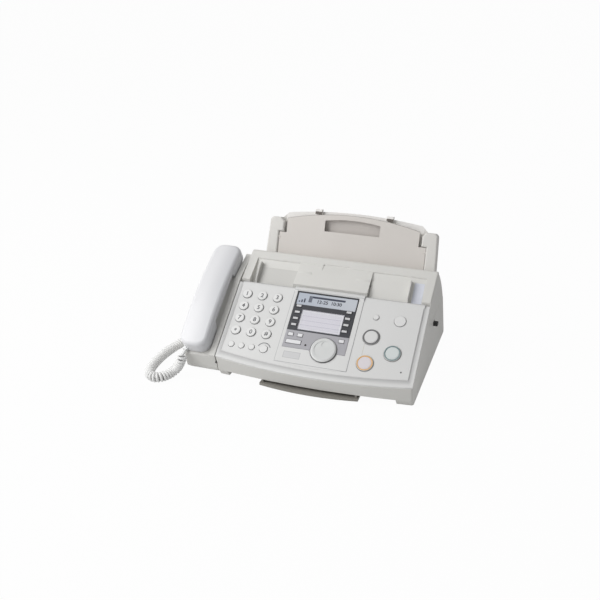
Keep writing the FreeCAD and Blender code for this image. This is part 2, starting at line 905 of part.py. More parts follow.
def menu_caps():
    caps = [(f"menu_{side}_x", "menu_s", "menu_length", "menu_width") for side in ("left", "mid", "right")]
    return caps + [("wide_x", "wide_s", "wide_length", "wide_width")]


FLANGE_TOP = f"({UNDERSIDE} - flange_gap)"


def make_round_key(name, x, s, radius, rise):
    key = body_in(name, PANEL)
    sketch = sketch_on(key, "XY", FLANGE_TOP)
    ring(sketch, x, s, f"{radius} + key_flange")
    pad(key, sketch, "flange_thick", back=True)
    sketch = sketch_on(key, "XY", FLANGE_TOP)
    ring(sketch, x, s, radius)
    pad(key, sketch, f"plateau + {rise} - {FLANGE_TOP}")
    top = value(f"plateau + {rise}")
    soften(key, f"{rise} * 0.4", lambda edge: top_edge(edge, top), "Chamfer")
    if rise == "ring_rise":
        # groove between the coloured ring and the cap
        sketch = sketch_on(key, "XY", f"plateau + {rise}")
        ring(sketch, x, s, f"{radius} * 0.82")
        ring(sketch, x, s, f"{radius} * 0.82 - ring_groove")
        pocket(key, sketch, "ring_groove / 2")


def make_key_strip(name, web, caps, shapes, rise):
    """Caps moulded on one web under the panel."""
    strip = body_in(name, PANEL)
    sketch = sketch_on(strip, "XY", FLANGE_TOP)
    outline(sketch, web)
    pad(strip, sketch, "flange_thick", back=True)
    sketch = sketch_on(strip, "XY", f"{FLANGE_TOP} - flange_thick / 2")
    for cap in caps:
        shapes(sketch, *cap)
    pad(strip, sketch, f"{rise} - {FLANGE_TOP} + flange_thick / 2")
    top = value(rise)
    soften(strip, "key_gap", lambda edge: top_edge(edge, top), "Chamfer")


def make_key_strips():
    def flat_cap(sketch, x, s, length, width):
        box_cap(sketch, x, s, length, width, "0")

    strip_top = f"({BEZEL_TOP} + key_rise * 0.6)"
    web = [
        ("function_x - function_radius", "function_s - web_width / 2"),
        ("redial_x + redial_radius", "function_s - web_width / 2"),
        ("redial_x + redial_radius", "function_s + web_width / 2"),
        ("function_x - function_radius", "function_s + web_width / 2"),
    ]
    make_key_strip("function_keys", web, function_caps(), ring, "(plateau + key_rise)")
    for side in ("left", "right"):
        x = f"station_{side}_x"
        reach = "station_pitch * 3 + station_width / 2"
        web = [
            (f"{x} - web_width / 2", "station_s - station_width / 2"),
            (f"{x} + web_width / 2", "station_s - station_width / 2"),
            (f"{x} + web_width / 2", f"station_s + {reach}"),
            (f"{x} - web_width / 2", f"station_s + {reach}"),
        ]
        make_key_strip(f"station_keys_{side}", web, station_caps(side), flat_cap, strip_top)
    web = [
        ("menu_left_x - menu_length / 2", "menu_s - menu_width / 2"),
        ("wide_x - web_width / 2", "menu_s - menu_width / 2"),
        ("wide_x - web_width / 2", "wide_s - wide_width / 2"),
        ("wide_x + web_width / 2", "wide_s - wide_width / 2"),
        ("wide_x + web_width / 2", "menu_s - menu_width / 2"),
        ("menu_right_x + menu_length / 2", "menu_s - menu_width / 2"),
        ("menu_right_x + menu_length / 2", "menu_s + menu_width / 2"),
        ("menu_left_x - menu_length / 2", "menu_s + menu_width / 2"),
    ]
    make_key_strip("menu_keys", web, menu_caps(), flat_cap, strip_top)


def make_jog_dial():
    dial = body_in("jog_dial", PANEL)
    under = "(bezel_floor + flange_gap)"
    sketch = sketch_on(dial, "XY", under)
    ring(sketch, "dial_x", "dial_s", "dial_radius")
    pad(dial, sketch, f"plateau + dial_rise - {under}")
    top = value("plateau + dial_rise")
    soften(dial, "dial_rise * 0.4", lambda edge: top_edge(edge, top), "Chamfer")
    # shallow dish on top with a finger dimple
    sketch = sketch_on(dial, "XY", "plateau + dial_rise")
    ring(sketch, "dial_x", "dial_s", "dial_radius * 0.72")
    pocket(dial, sketch, "seam * 2")
    sketch = sketch_on(dial, "XY", "plateau + dial_rise")
    ring(sketch, "dial_x", "dial_s + dial_radius * 0.42", "dial_hub")
    pocket(dial, sketch, "seam * 4")
    # hub through the cover, with a collar under it
    sketch = sketch_on(dial, "XY", under)
    ring(sketch, "dial_x", "dial_s", "dial_hub")
    pad(dial, sketch, f"{under} - {FLANGE_TOP} + flange_thick", back=True)
    sketch = sketch_on(dial, "XY", FLANGE_TOP)
    ring(sketch, "dial_x", "dial_s", "dial_hub + key_flange")
    pad(dial, sketch, "flange_thick", back=True)


def make_display():
    bezel = body_in("display_bezel", PANEL)
    sketch = sketch_on(bezel, "XY", "bezel_floor")
    box_outline(sketch, "bezel_left", "bezel_right", "bezel_front", "bezel_rear")
    pad(bezel, sketch, "bezel_thick")
    soften(bezel, "key_gap", lambda edge: top_edge(edge, value(BEZEL_TOP)), "Chamfer")
    sketch = sketch_on(bezel, "XY", f"{BEZEL_TOP} + 1")
    ring(sketch, "dial_x", "dial_s", "dial_radius + dial_gap")
    pocket(bezel, sketch)
    sketch = sketch_on(bezel, "XY", f"{BEZEL_TOP} + 1")
    for part in ("window", "card"):
        box_outline(
            sketch,
            f"{part}_left - fit_gap",
            f"{part}_right + fit_gap",
            f"{part}_front - fit_gap",
            f"{part}_rear + fit_gap",
        )
    for x, s, length, width in station_caps("left") + station_caps("right") + menu_caps():
        box_cap(sketch, x, s, length, width, "key_gap")
    pocket(bezel, sketch)
    for node, part, level, thick in (
        ("display_window", "window", "bezel_floor", "window_thick"),
        ("directory_card", "card", "bezel_floor", "card_thick"),
        ("card_window", "card", "bezel_floor + card_thick", "card_cover"),
    ):
        piece = body_in(node, PANEL)
        sketch = sketch_on(piece, "XY", level)
        box_outline(sketch, f"{part}_left", f"{part}_right", f"{part}_front", f"{part}_rear")
        pad(piece, sketch, thick)


def make_panel_board():
    board = body_in("panel_board", PANEL)
    sketch = sketch_on(board, "XY", f"-{BOARD_DROP}")
    edge = "(body_width / 2 - plateau_side * 2 - wall)"
    box_outline(sketch, f"-{edge}", edge, "plateau_front * 1.5", f"{HINGE_S} - plateau_front")
    pad(board, sketch, "board_thick", back=True)


def make_back_cover():
    cover = body_in("back_cover", CASE)
    low = "(part_line + seam)"
    shell = [
        (BACK_Y, low),
        (BACK_Y, BACK_Z),
        ("ridge_y", "ridge_z", ("ridge_y + ridge_round", "ridge_z + ridge_round * 0.3")),
        ("ridge_y + ridge_round * 2", "ridge_z - ridge_round * 0.6", (BULGE_Y, BULGE_Z)),
        (REAR_TOP, low),
    ]
    sketch = sketch_on(cover, "YZ")
    outline(sketch, shell)
    pad(cover, sketch, "body_width", both=True)
    side = value("body_width / 2")
    soften(
        cover,
        "cover_wall * 0.9",
        lambda edge: abs(abs(edge.CenterOfMass.x) - side) < 1e-3
        and edge.BoundBox.YLength > 1
        and edge.BoundBox.ZLength > 1,
    )
    # room under the shell
    sketch = sketch_on(cover, "YZ")
    thick = f"cover_wall * sqrt(1 + {FLOOR_CLIMB} * {FLOOR_CLIMB})"
    bulge = (f"{BULGE_Y} - cover_wall", f"{BULGE_Z} - wall")
    outline(
        sketch,
        [
            (f"{BACK_Y} + cover_wall", "part_line - wall"),
            (f"{BACK_Y} + cover_wall", f"{FLOOR_FRONT_Z} + cover_wall * {FLOOR_CLIMB} - {thick}"),
            ("recess_back", f"{RECESS_TOP_Z} - {thick}"),
            ("ridge_y + ridge_round", "ridge_z - cover_wall * 2", bulge),
            (f"{REAR_TOP} - cover_wall", "part_line - wall"),
        ],
    )
    pocket(cover, sketch, "body_width - cover_wall * 2", both=True)
    # document recess
    sketch = sketch_on(cover, "YZ")
    front = "body_depth / 3"
    outline(
        sketch,
        [
            (front, f"{FLOOR_FRONT_Z} - ({BACK_Y} - {front}) * {FLOOR_CLIMB}"),
            ("recess_back", RECESS_TOP_Z),
            ("recess_back", "ridge_z + wall"),
            (front, "ridge_z + wall"),
        ],
    )
    pocket(cover, sketch, "recess_half * 2", both=True)
    # mouth under the recess floor for the documents
    sketch = sketch_on(cover, "XZ", f"-{BACK_Y} - cover_wall * 2")
    box_outline(sketch, "-recess_half", "recess_half", "part_line - wall", f"{FLOOR_FRONT_Z} - wall * 2")
    pocket(cover, sketch, "cover_wall * 3", back=True)
    # the floor's front edge stands back, so that it lifts past the front cover's hump
    front = f"({BACK_Y} + hump_rise + seam / 2)"
    sketch = sketch_on(cover, "XZ", f"-{front}")
    low, high = f"{FLOOR_FRONT_Z} - wall * 2", f"{FLOOR_FRONT_Z} + wall * 2"
    box_outline(sketch, "-recess_half", "recess_half", low, high)
    pocket(cover, sketch, "hump_rise + seam", back=True)
    # bridge over the guides' plates in the middle of the recess
    sketch = sketch_on(cover, "YZ", "guide_mid")
    end = f"({BACK_Y} + (wall * 2 + guide_plate) * cos(atan({FLOOR_CLIMB})) + wall / 2)"
    under = f"(guide_thick + lid_gap * 3) / cos(atan({FLOOR_CLIMB}))"
    outline(
        sketch,
        [
            (front, f"{rim_at(front)} - seam"),
            ("recess_back + seam", f"{rim_at('recess_back')} - seam"),
            ("recess_back + seam", f"{RECESS_TOP_Z} - seam"),
            (end, f"{recess_at(end)} - seam"),
            (end, f"{recess_at(end)} + {under}"),
            (front, f"{recess_at(front)} + {under}"),
        ],
    )
    pad(cover, sketch, "bridge_half * 2", both=True)
    # finger dip in the middle of the ridge
    sketch = sketch_on(cover, "YZ", "dip_x")
    behind, before = "(recess_back + wall)", "(recess_back - wall * 4)"
    outline(
        sketch,
        [
            (before, f"{rim_at(before)} - seam * 1.5"),
            (behind, f"{rim_at(behind)} - dip_depth"),
            (behind, "ridge_z + wall"),
            (before, "ridge_z + wall"),
        ],
    )
    pocket(cover, sketch, "dip_width", both=True)
    # slots for the document guides
    sketch = sketch_on(cover, "XY", "part_line")
    for sign in ("", "-"):
        near = f"guide_mid {sign or '+'} (guide_half - guide_base / 2 - guide_travel - slot_width * 2)"
        far = f"guide_mid {sign or '+'} (guide_half - guide_base / 2 + slot_width * 2)"
        low_x, high_x = (near, far) if sign == "" else (far, near)
        box_outline(sketch, low_x, high_x, f"{GUIDE_Y} - slot_width / 2", f"{GUIDE_Y} + slot_width / 2")
    pocket(cover, sketch, "case_top", back=True)
    # well for the paper tray
    sketch = sketch_on(cover, "XY", "part_line")
    half = "(tray_half + lid_gap * 2)"
    box_outline(
        sketch,
        f"tray_x - {half}",
        f"tray_x + {half}",
        "tray_y - ear_front - wall",
        "tray_y + tray_back + tray_thick + wall * 2",
    )
    pocket(cover, sketch, "case_top", back=True)
    # shelves under the tray's ears, out to the side walls
    for sign in ("", "-"):
        sketch = sketch_on(cover, "YZ", f"{sign}(body_width / 2 - cover_wall / 2)")
        shelf = [
            ("-ear_front - wall", "tray_foot"),
            ("tray_back + tray_thick + wall", "tray_foot"),
            ("tray_back + tray_thick + wall", "tray_foot - wall"),
            ("-ear_front - wall", "tray_foot - wall"),
        ]
        outline(sketch, [tray_to_case(back, up) for back, up in shelf])
        pad(cover, sketch, "shelf_reach", back=(sign == ""))
    # eyes that turn on the base's pins
    for sign in ("", "-"):
        sketch = sketch_on(cover, "YZ", f"{sign}eye_x")
        ring(sketch, REAR_TOP, COVER_PIN_Z, "cover_pin + lid_gap * 2")
        pocket(cover, sketch, "eye_width + wall * 3", both=True)
        sketch = sketch_on(cover, "YZ", f"{sign}eye_x")
        ring(sketch, REAR_TOP, COVER_PIN_Z, "hinge_eye")
        pad(cover, sketch, "eye_width", both=True)
        sketch = sketch_on(cover, "YZ", f"{sign}eye_x")
        ring(sketch, REAR_TOP, COVER_PIN_Z, "cover_pin + pin_clearance")
        pocket(cover, sketch, "eye_width * 2", both=True)


def tray_to_case(back, up):
    """A place behind and above the paper tray's origin, in the case frame."""
    return (
        f"(tray_y + ({back}) * cos(tray_lean) + ({up}) * sin(tray_lean))",
        f"(tray_z - ({back}) * sin(tray_lean) + ({up}) * cos(tray_lean))",
    )


BULGE_Y = f"((ridge_y + {REAR_TOP}) / 2 + ridge_round * 1.2)"
BULGE_Z = "((ridge_z + part_line) / 2 + ridge_round * 0.6)"
FLOOR_FRONT_Z = f"({BACK_Z} - recess_drop)"
RIM_CLIMB = f"((ridge_z - {BACK_Z}) / (ridge_y - {BACK_Y}))"
RECESS_TOP_Z = f"({BACK_Z} + (recess_back - {BACK_Y}) * {RIM_CLIMB} - recess_step)"
FLOOR_CLIMB = f"(({RECESS_TOP_Z} - {FLOOR_FRONT_Z}) / (recess_back - {BACK_Y}))"
GUIDE_Y = f"(({BACK_Y} + recess_back) / 2 + slot_width)"


def rim_at(y):
    """Height of the back cover's sloping face, without the recess."""
    return f"({BACK_Z} + ({y} - {BACK_Y}) * {RIM_CLIMB})"


def recess_at(y):
    """Height of the recess floor."""
    return f"({FLOOR_FRONT_Z} + ({y} - {BACK_Y}) * {FLOOR_CLIMB})"


def make_document_guides():
    """Two mirrored angle guides on the recess floor, each with a tab through its slot."""
    floor = frame_at("guide_mid", BACK_Y, FLOOR_FRONT_Z, f"atan({FLOOR_CLIMB})")
    for name, sign in (("document_guide_right", 1), ("document_guide_left", -1)):
        guide = body_in(name, floor)
        mark = "" if sign > 0 else "-"
        inner, outer = f"{mark}(guide_half - guide_base)", f"{mark}guide_half"
        sketch = sketch_on(guide, "XY", "lid_gap")
        low_x, high_x = (inner, outer) if sign > 0 else (outer, inner)
        box_outline(sketch, low_x, high_x, "wall * 2", "wall * 2 + guide_plate")
        pad(guide, sketch, "guide_thick")
        # fin with a sloping front end
        sketch = sketch_on(guide, "YZ", outer)
        outline(
            sketch,
            [
                ("wall * 2", "lid_gap"),
                ("wall * 2 + guide_length", "lid_gap"),
                ("wall * 2 + guide_length", "guide_fin * 0.7"),
                ("wall * 2 + guide_length - guide_fin * 0.5", "guide_fin"),
                ("wall * 2 + guide_fin", "guide_fin"),
                ("wall * 2", "guide_fin * 0.4"),
            ],
        )
        pad(guide, sketch, "guide_thick * 1.4", back=(sign > 0))
        # tab down through the slot
        sketch = sketch_on(guide, "XY", "lid_gap")
        middle = f"{mark}(guide_half - guide_base / 2)"
        along = f"({GUIDE_Y} - {BACK_Y}) / cos(atan({FLOOR_CLIMB}))"
        box_outline(
            sketch,
            f"{middle} - slot_width",
            f"{middle} + slot_width",
            f"{along} - slot_width / 5",
            f"{along} + slot_width / 5",
        )
        pad(guide, sketch, "cover_wall * 0.65", back=True)


EAR_LOW = "(ear_inner + ear_notch)"


def make_paper_tray():
    tray = body_in("paper_tray", TRAY)
    sketch = sketch_on(tray, "XZ", "-tray_back - tray_thick")
    shoulder = "(tray_half - ear_taper)"
    bite = "ear_round * 0.3"
    outline(
        sketch,
        [
            ("-tray_half", "tray_foot"),
            ("tray_half", "tray_foot"),
            ("tray_half", "0"),
            (shoulder, "ear_top - ear_round", (f"{shoulder} - {bite}", f"ear_top - {bite}")),
            (f"{shoulder} - ear_round", "ear_top"),
            ("ear_inner + ear_round", "ear_top"),
            ("ear_inner - ear_round / 2", "rim_edge", ("0", "rim_crown")),
            ("ear_round / 2 - ear_inner", "rim_edge"),
            ("-ear_inner - ear_round", "ear_top"),
            (f"ear_round - {shoulder}", "ear_top", (f"{bite} - {shoulder}", f"ear_top - {bite}")),
            (f"-{shoulder}", "ear_top - ear_round"),
            ("-tray_half", "0"),
        ],
    )
    pad(tray, sketch, "tray_thick")
    # ears beside the paper
    for sign in ("", "-"):
        sketch = sketch_on(tray, "XZ", "-tray_back - tray_thick / 2")
        outline(
            sketch,
            [
                (f"{sign}tray_half", "tray_foot"),
                (f"{sign}tray_half", "0"),
                (
                    f"{sign}{shoulder}",
                    "ear_top - ear_round",
                    (f"{sign}({shoulder} - {bite})", f"ear_top - {bite}"),
                ),
                (f"{sign}({shoulder} - ear_round)", "ear_top"),
                (f"{sign}(ear_inner + ear_round)", "ear_top"),
                (f"{sign}ear_inner", "ear_top - ear_round"),
                (f"{sign}ear_inner", "plate_shoulder + seam * 2"),
                (f"{sign}{EAR_LOW}", "plate_shoulder + seam * 2"),
                (f"{sign}{EAR_LOW}", "tray_foot"),
            ],
        )
        pad(tray, sketch, "tray_back + tray_thick / 2 + ear_front")
    front = -value("ear_front")
    soften(
        tray,
        "ear_front * 0.8",
        lambda edge: abs(edge.BoundBox.YMin - front) < 1e-4 and abs(edge.BoundBox.YMax - front) < 1e-4,
    )
    # two hooks on the rim that stop the tension plate
    sketch = sketch_on(tray, "XZ", "-tray_back - tray_thick / 2")
    for sign in ("", "-"):
        spot = f"{sign}plate_half * 0.54"
        low, high = "plate_crown - wall", "plate_crown + wall * 2"
        box_outline(sketch, f"{spot} - wall * 2", f"{spot} + wall * 2", low, high)
    pad(tray, sketch, "tray_back - plate_thick / 2")
    # blind holes for the tension plate's pivots
    for sign in ("", "-"):
        sketch = sketch_on(tray, "YZ", f"{sign}{EAR_LOW}")
        ring(sketch, "0", "plate_pivot", "pivot_pin + pin_clearance")
        pocket(tray, sketch, "wall * 2", back=(sign == ""))


def make_tension_plate():
    plate = body_in("tension_plate", TRAY)
    sketch = sketch_on(plate, "XZ")
    wide = f"({EAR_LOW} - seam * 2)"
    outline(
        sketch,
        [
            (f"-{wide}", "plate_foot"),
            (wide, "plate_foot"),
            (wide, "plate_shoulder"),
            ("plate_half", "plate_shoulder"),
            ("plate_half", "plate_edge", ("0", "plate_crown")),
            ("-plate_half", "plate_edge"),
            ("-plate_half", "plate_shoulder"),
            (f"-{wide}", "plate_shoulder"),
        ],
    )
    outline(
        sketch,
        [
            ("-handle_half", "handle_low"),
            ("handle_half", "handle_low"),
            ("handle_half", "handle_high - wall", ("0", "handle_high + wall / 2")),
            ("-handle_half", "handle_high - wall"),
        ],
    )
    pad(plate, sketch, "plate_thick", both=True)
    for sign in ("", "-"):
        sketch = sketch_on(plate, "YZ", f"{sign}({wide} - wall)")
        ring(sketch, "0", "plate_pivot", "pivot_pin")
        pad(plate, sketch, "wall + seam * 2 + wall * 1.8", back=(sign == "-"))


HANDSET_X = "(handset_width / 2 - body_width / 2 - handset_zone)"
CRADLE_X = "(-body_width / 2 - cradle_gap)"
MOUTH = ("mouth_start", "mouth_end")
EAR = ("ear_start", "ear_end")
WELL_DROP = "(cup_drop + cup_gap)"


def make_cradle():
    """The shelf at the left side that the handset lies on."""
    cradle = body_in("handset_cradle", CASE)
    nose = apron_at("cradle_height")
    peak = "(cradle_height + cradle_length * sin(cradle_slope))"
    sketch = sketch_on(cradle, "YZ", CRADLE_X)
    outline(
        sketch,
        [
            ("cradle_foot", "foot_height"),
            (apron_at("floor_under"), "floor_under"),
            (nose, f"cradle_height + {nose} * tan(cradle_slope)"),
            ("cradle_length * cos(cradle_slope)", peak),
            ("cradle_rear - wall * 3", f"{peak} - wall * 4"),
            ("cradle_rear", "part_line"),
            ("cradle_rear", "foot_height"),
        ],
    )
    pad(cradle, sketch, "cradle_width", back=True)
    left = value(f"{CRADLE_X} - cradle_width")
    soften(
        cradle,
        "corner_round",
        lambda edge: abs(edge.CenterOfMass.x - left) < 1e-3 and edge.CenterOfMass.z > value("floor_under"),
    )
    # strip beside the panel, level with its rim
    sketch = sketch_on(cradle, "YZ", CRADLE_X)
    outline(
        sketch,
        [
            ("foot_front * 2", "floor_under * 2"),
            (apron_at("floor_under * 2"), "floor_under * 2"),
            ("0", "rim_height"),
            (BACK_Y, f"rim_height + {BACK_Y} * tan(panel_slope)"),
            ("ridge_y", "ridge_z - wall * 2"),
            ("cradle_rear", "part_line"),
        ],
    )
    pad(cradle, sketch, "cradle_strip", back=True)
    # hollow, open at the bottom
    sketch = sketch_on(cradle, "YZ", f"{CRADLE_X} - wall")
    roof = f"({WELL_DROP} + wall) / cos(cradle_slope)"
    outline(
        sketch,
        [
            ("cradle_foot + wall", "0"),
            (f"{apron_at('floor_under')} + wall * 1.5", "floor_under"),
            (f"{nose} + wall * 2", f"cradle_height + ({nose} + wall * 2) * tan(cradle_slope) - {roof}"),
            ("cradle_length * cos(cradle_slope)", f"{peak} - {roof}"),
            ("cradle_rear - wall * 5", f"{peak} - wall * 6"),
            ("cradle_rear - wall", "part_line"),
            ("cradle_rear - wall", "0"),
        ],
    )
    pocket(cradle, sketch, "cradle_width - wall * 2")
    # webs in from the left wall over the two feet
    sketch = sketch_on(cradle, "XY", "foot_height")
    for y in CRADLE_FEET:
        outer = f"{CRADLE_X} - cradle_width + wall / 2"
        reach = "foot_height * 4"
        box_outline(sketch, outer, f"{CRADLE_FOOT_X} + {reach}", f"{y} - {reach}", f"{y} + {reach}")
    pad(cradle, sketch, "wall")
    # wells for the two cups of the handset
    half = "(cup_half + well_side)"
    for low, high in (MOUTH, EAR):
        sketch = sketch_on(cradle, "XY", "cradle_height", "cradle_slope")
        rounded(
            sketch,
            f"{HANDSET_X} - {half}",
            f"{HANDSET_X} + {half}",
            f"handset_shift + {low} - well_side",
            f"handset_shift + {high} + well_side",
            "cup_round",
        )
        pocket(cradle, sketch, WELL_DROP)
    sketch = sketch_on(cradle, "XY", "cradle_height", "cradle_slope")
    ring(sketch, HANDSET_X, f"handset_shift + {HOOK_U}", "hook_radius + pin_clearance")
    pocket(cradle, sketch, f"{WELL_DROP} + wall * 4")
    # jack for the cord in the left wall
    sketch = sketch_on(cradle, "YZ", f"{CRADLE_X} - cradle_width - wall")
    box_outline(
        sketch,
        "cord_y - plug_width / 2 - fit_gap",
        "cord_y + plug_width / 2 + fit_gap",
        "cord_z - plug_height / 2 - fit_gap",
        "cord_z + plug_height / 2 + fit_gap",
    )
    pocket(cradle, sketch, "wall * 3", back=True)


HOOK_U = "(ear_start + hook_radius * 3)"


def make_hook_switch():
    """Plunger under the ear cup, held by a collar under the well's floor."""
    hook = body_in("hook_switch", HANDSET)
    sketch = sketch_on(hook, "XY", "-cup_drop - lid_gap")
    ring(sketch, "0", HOOK_U, "hook_radius")
    pad(hook, sketch, "wall * 2 + hook_rise * 2", back=True)
    sketch = sketch_on(hook, "XY", f"-({WELL_DROP} + wall + hook_rise + lid_gap)")
    ring(sketch, "0", HOOK_U, "hook_radius * 1.6")
    pad(hook, sketch, "wall / 2", back=True)


def parting():
    """The line between the handset's two shells, from the mouth end to the ear end."""
    grip = "handle_gap + shell_part"
    return [
        ("0", "end_part"),
        ("mouth_end", "end_part"),
        ("grip_start + shell_part", grip),
        ("grip_end - shell_part", grip),
        ("ear_start", "end_part"),
        ("handset_length", "end_part"),
    ]


def round_ends(body):
    """Rounds the plan corners at both ends of a handset shell."""
    side = value("handset_width / 2")
    ends = (0, value("handset_length"))
    soften(
        body,
        "handset_end",
        lambda edge: abs(abs(edge.CenterOfMass.x) - side) < 1e-3
        and edge.BoundBox.YLength < 1e-3
        and min(abs(edge.CenterOfMass.y - end) for end in ends) < 1e-3,
    )


def make_handset():
    shell = body_in("handset_body", HANDSET)
    sketch = sketch_on(shell, "YZ")
    ear_tip = ("handset_length", "ear_rise", ("handset_length * 0.46", "handset_crown"))
    outline(sketch, parting() + [ear_tip, ("0", "mouth_rise")])
    pad(shell, sketch, "handset_width", both=True)
    round_ends(shell)
    doc.recompute()
    crown = max(shell.Tip.Shape.Faces, key=lambda face: face.CenterOfMass.z)
    soften(shell, "edge_round", lambda edge: any(edge.isSame(rim) for rim in crown.Edges))
    # hollow behind the grip
    sketch = sketch_on(shell, "YZ")
    grip = "handle_gap + shell_part"
    outline(
        sketch,
        [
            ("grip_start", "end_part"),
            ("grip_start", f"{grip} + wall"),
            ("grip_end", f"{grip} + wall"),
            ("grip_end", "end_part"),
        ],
    )
    pocket(shell, sketch, "handset_width - edge_round * 2", both=True)

    face = body_in("handset_face", HANDSET)
    sketch = sketch_on(face, "YZ")
    outline(
        sketch,
        parting()
        + [
            ("handset_length", "face_low"),
            ("ear_start - shell_part", "face_low"),
            ("grip_end", "handle_gap"),
            ("grip_start", "handle_gap"),
            ("mouth_end + shell_part", "face_low"),
            ("0", "face_low"),
        ],
    )
    pad(face, sketch, "handset_width", both=True)
    round_ends(face)
    for low, high in (MOUTH, EAR):
        sketch = sketch_on(face, "XY", "face_low * 2")
        rounded(sketch, "-cup_half", "cup_half", low, high, "cup_round - well_side")
        pad(face, sketch, "cup_drop + face_low * 2", back=True)
        # sound holes
        sketch = sketch_on(face, "XY", "-cup_drop")
        middle = f"({low} + {high}) / 2"
        for angle in range(30, 390, 60):
            ring(sketch, f"cup_round * cos({angle})", f"{middle} + cup_round * sin({angle})", "fit_gap * 5")
        pocket(face, sketch, "wall", back=True)
    # jack for the cord in the mouth end
    sketch = sketch_on(face, "XZ", "plug_length")
    box_outline(
        sketch,
        "plug_x - plug_width / 2 - fit_gap",
        "plug_x + plug_width / 2 + fit_gap",
        "plug_n - plug_height / 2 - fit_gap",
        "plug_n + plug_height / 2 + fit_gap",
    )
    pocket(face, sketch, "plug_length * 2 - plug_proud + fit_gap")


def make_plugs():
    """The cord's two plugs, each a block in its jack."""
    plug = body_in("cord_plug_base", CASE)
    sketch = sketch_on(plug, "YZ", f"{CRADLE_X} - cradle_width - plug_proud")
    box_outline(
        sketch,
        "cord_y - plug_width / 2",
        "cord_y + plug_width / 2",
        "cord_z - plug_height / 2",
        "cord_z + plug_height / 2",
    )
    pad(plug, sketch, "plug_length")
    plug = body_in("cord_plug_handset", HANDSET)
    sketch = sketch_on(plug, "XZ", "plug_proud")
    box_outline(
        sketch,
        "plug_x - plug_width / 2",
        "plug_x + plug_width / 2",
        "plug_n - plug_height / 2",
        "plug_n + plug_height / 2",
    )
    pad(plug, sketch, "plug_length", back=True)


def meshed(center, center_teeth, angle, teeth):
    """The centre of a gear that meshes with another at an angle from it."""
    reach = f"(gear_module * ({center_teeth} + {teeth}) / 2 + gear_slack)"
    return f"({center[0]} + {reach} * cos({angle}))", f"({center[1]} + {reach} * sin({angle}))"


def gap_phase(angle, teeth, other_teeth, other_phase):
    """Where a gear has a gap between teeth, so that its teeth fall into its neighbour's gaps."""
    return f"({angle} + 180 + ({angle} - {other_phase}) * {other_teeth} / {teeth} + 180 / {teeth})"


IDLER = ("idler_y", "idler_z")
PINION = meshed(IDLER, "idler_teeth", "pinion_angle", "pinion_teeth")
PLATEN = meshed(IDLER, "idler_teeth", "platen_angle", "platen_teeth")
FEED = meshed(IDLER, "idler_teeth", "feed_angle", "feed_teeth")
TAKEUP = meshed(IDLER, "idler_teeth", "takeup_angle", "takeup_teeth")
PICKUP = meshed(TAKEUP, "takeup_teeth", "pickup_angle", "pickup_teeth")
SUPPLY = ("supply_y", "supply_z")
PLATE_IN = "(frame_half - frame_thick / 2)"
PLATE_OUT = "(frame_half + frame_thick / 2)"


def add_gear(body, teeth, phase):
    """A spur gear outside the left plate: a disc with one gap cut and repeated."""
    level = f"(-{PLATE_OUT} - gear_gap)"
    pitch = f"(gear_module * {teeth} / 2)"
    tip = f"({pitch} + gear_module * tooth_tip)"
    root = f"({pitch} - gear_module * tooth_root)"
    sketch = sketch_on(body, "YZ", level)
    ring(sketch, "0", "0", tip)
    pad(body, sketch, "gear_width", back=True)

    def corner(radius, side):
        half = f"(gear_module * (pi / 4 + tooth_play) + ({radius} - {pitch}) * tan(20))"
        angle = f"({phase} {side} {half} / {radius} * 180 / pi)"
        return f"{radius} * cos({angle})", f"{radius} * sin({angle})"

    sketch = sketch_on(body, "YZ", level)
    mouth = f"({tip} + gear_module / 2)"
    outline(sketch, [corner(root, "-"), corner(mouth, "-"), corner(mouth, "+"), corner(root, "+")])
    gap = pocket(body, sketch, "gear_width")
    pattern = body.newObject("PartDesign::PolarPattern", f"{body.Name}_teeth")
    pattern.Originals = [gap]
    axis = [part for part in body.Origin.OriginFeatures if part.Role == "X_Axis"]
    pattern.Axis = (axis[0], [""])
    pattern.Angle = 360
    pattern.setExpression("Occurrences", tie(teeth))
    body.Tip = pattern


def add_round(body, low, high, radius):
    """A cylinder about the body's own x axis."""
    sketch = sketch_on(body, "YZ", low)
    ring(sketch, "0", "0", radius)
    pad(body, sketch, f"({high}) - ({low})")


def make_roller(label, center, radius, spans, teeth=None, phase=None):
    """A shaft between the plates with rolls on it and, when it is driven, a gear at its left end."""
    roller = body_in(label, frame_at("0", center[0], center[1], "0"))
    start = f"(-{PLATE_OUT} - gear_gap)"
    if teeth is not None:
        add_gear(roller, teeth, phase)
        start = f"(-{PLATE_OUT} - gear_gap - gear_width)"
    add_round(roller, start, f"{PLATE_OUT} + gear_gap", "shaft")
    for low, high in spans:
        add_round(roller, low, high, radius)


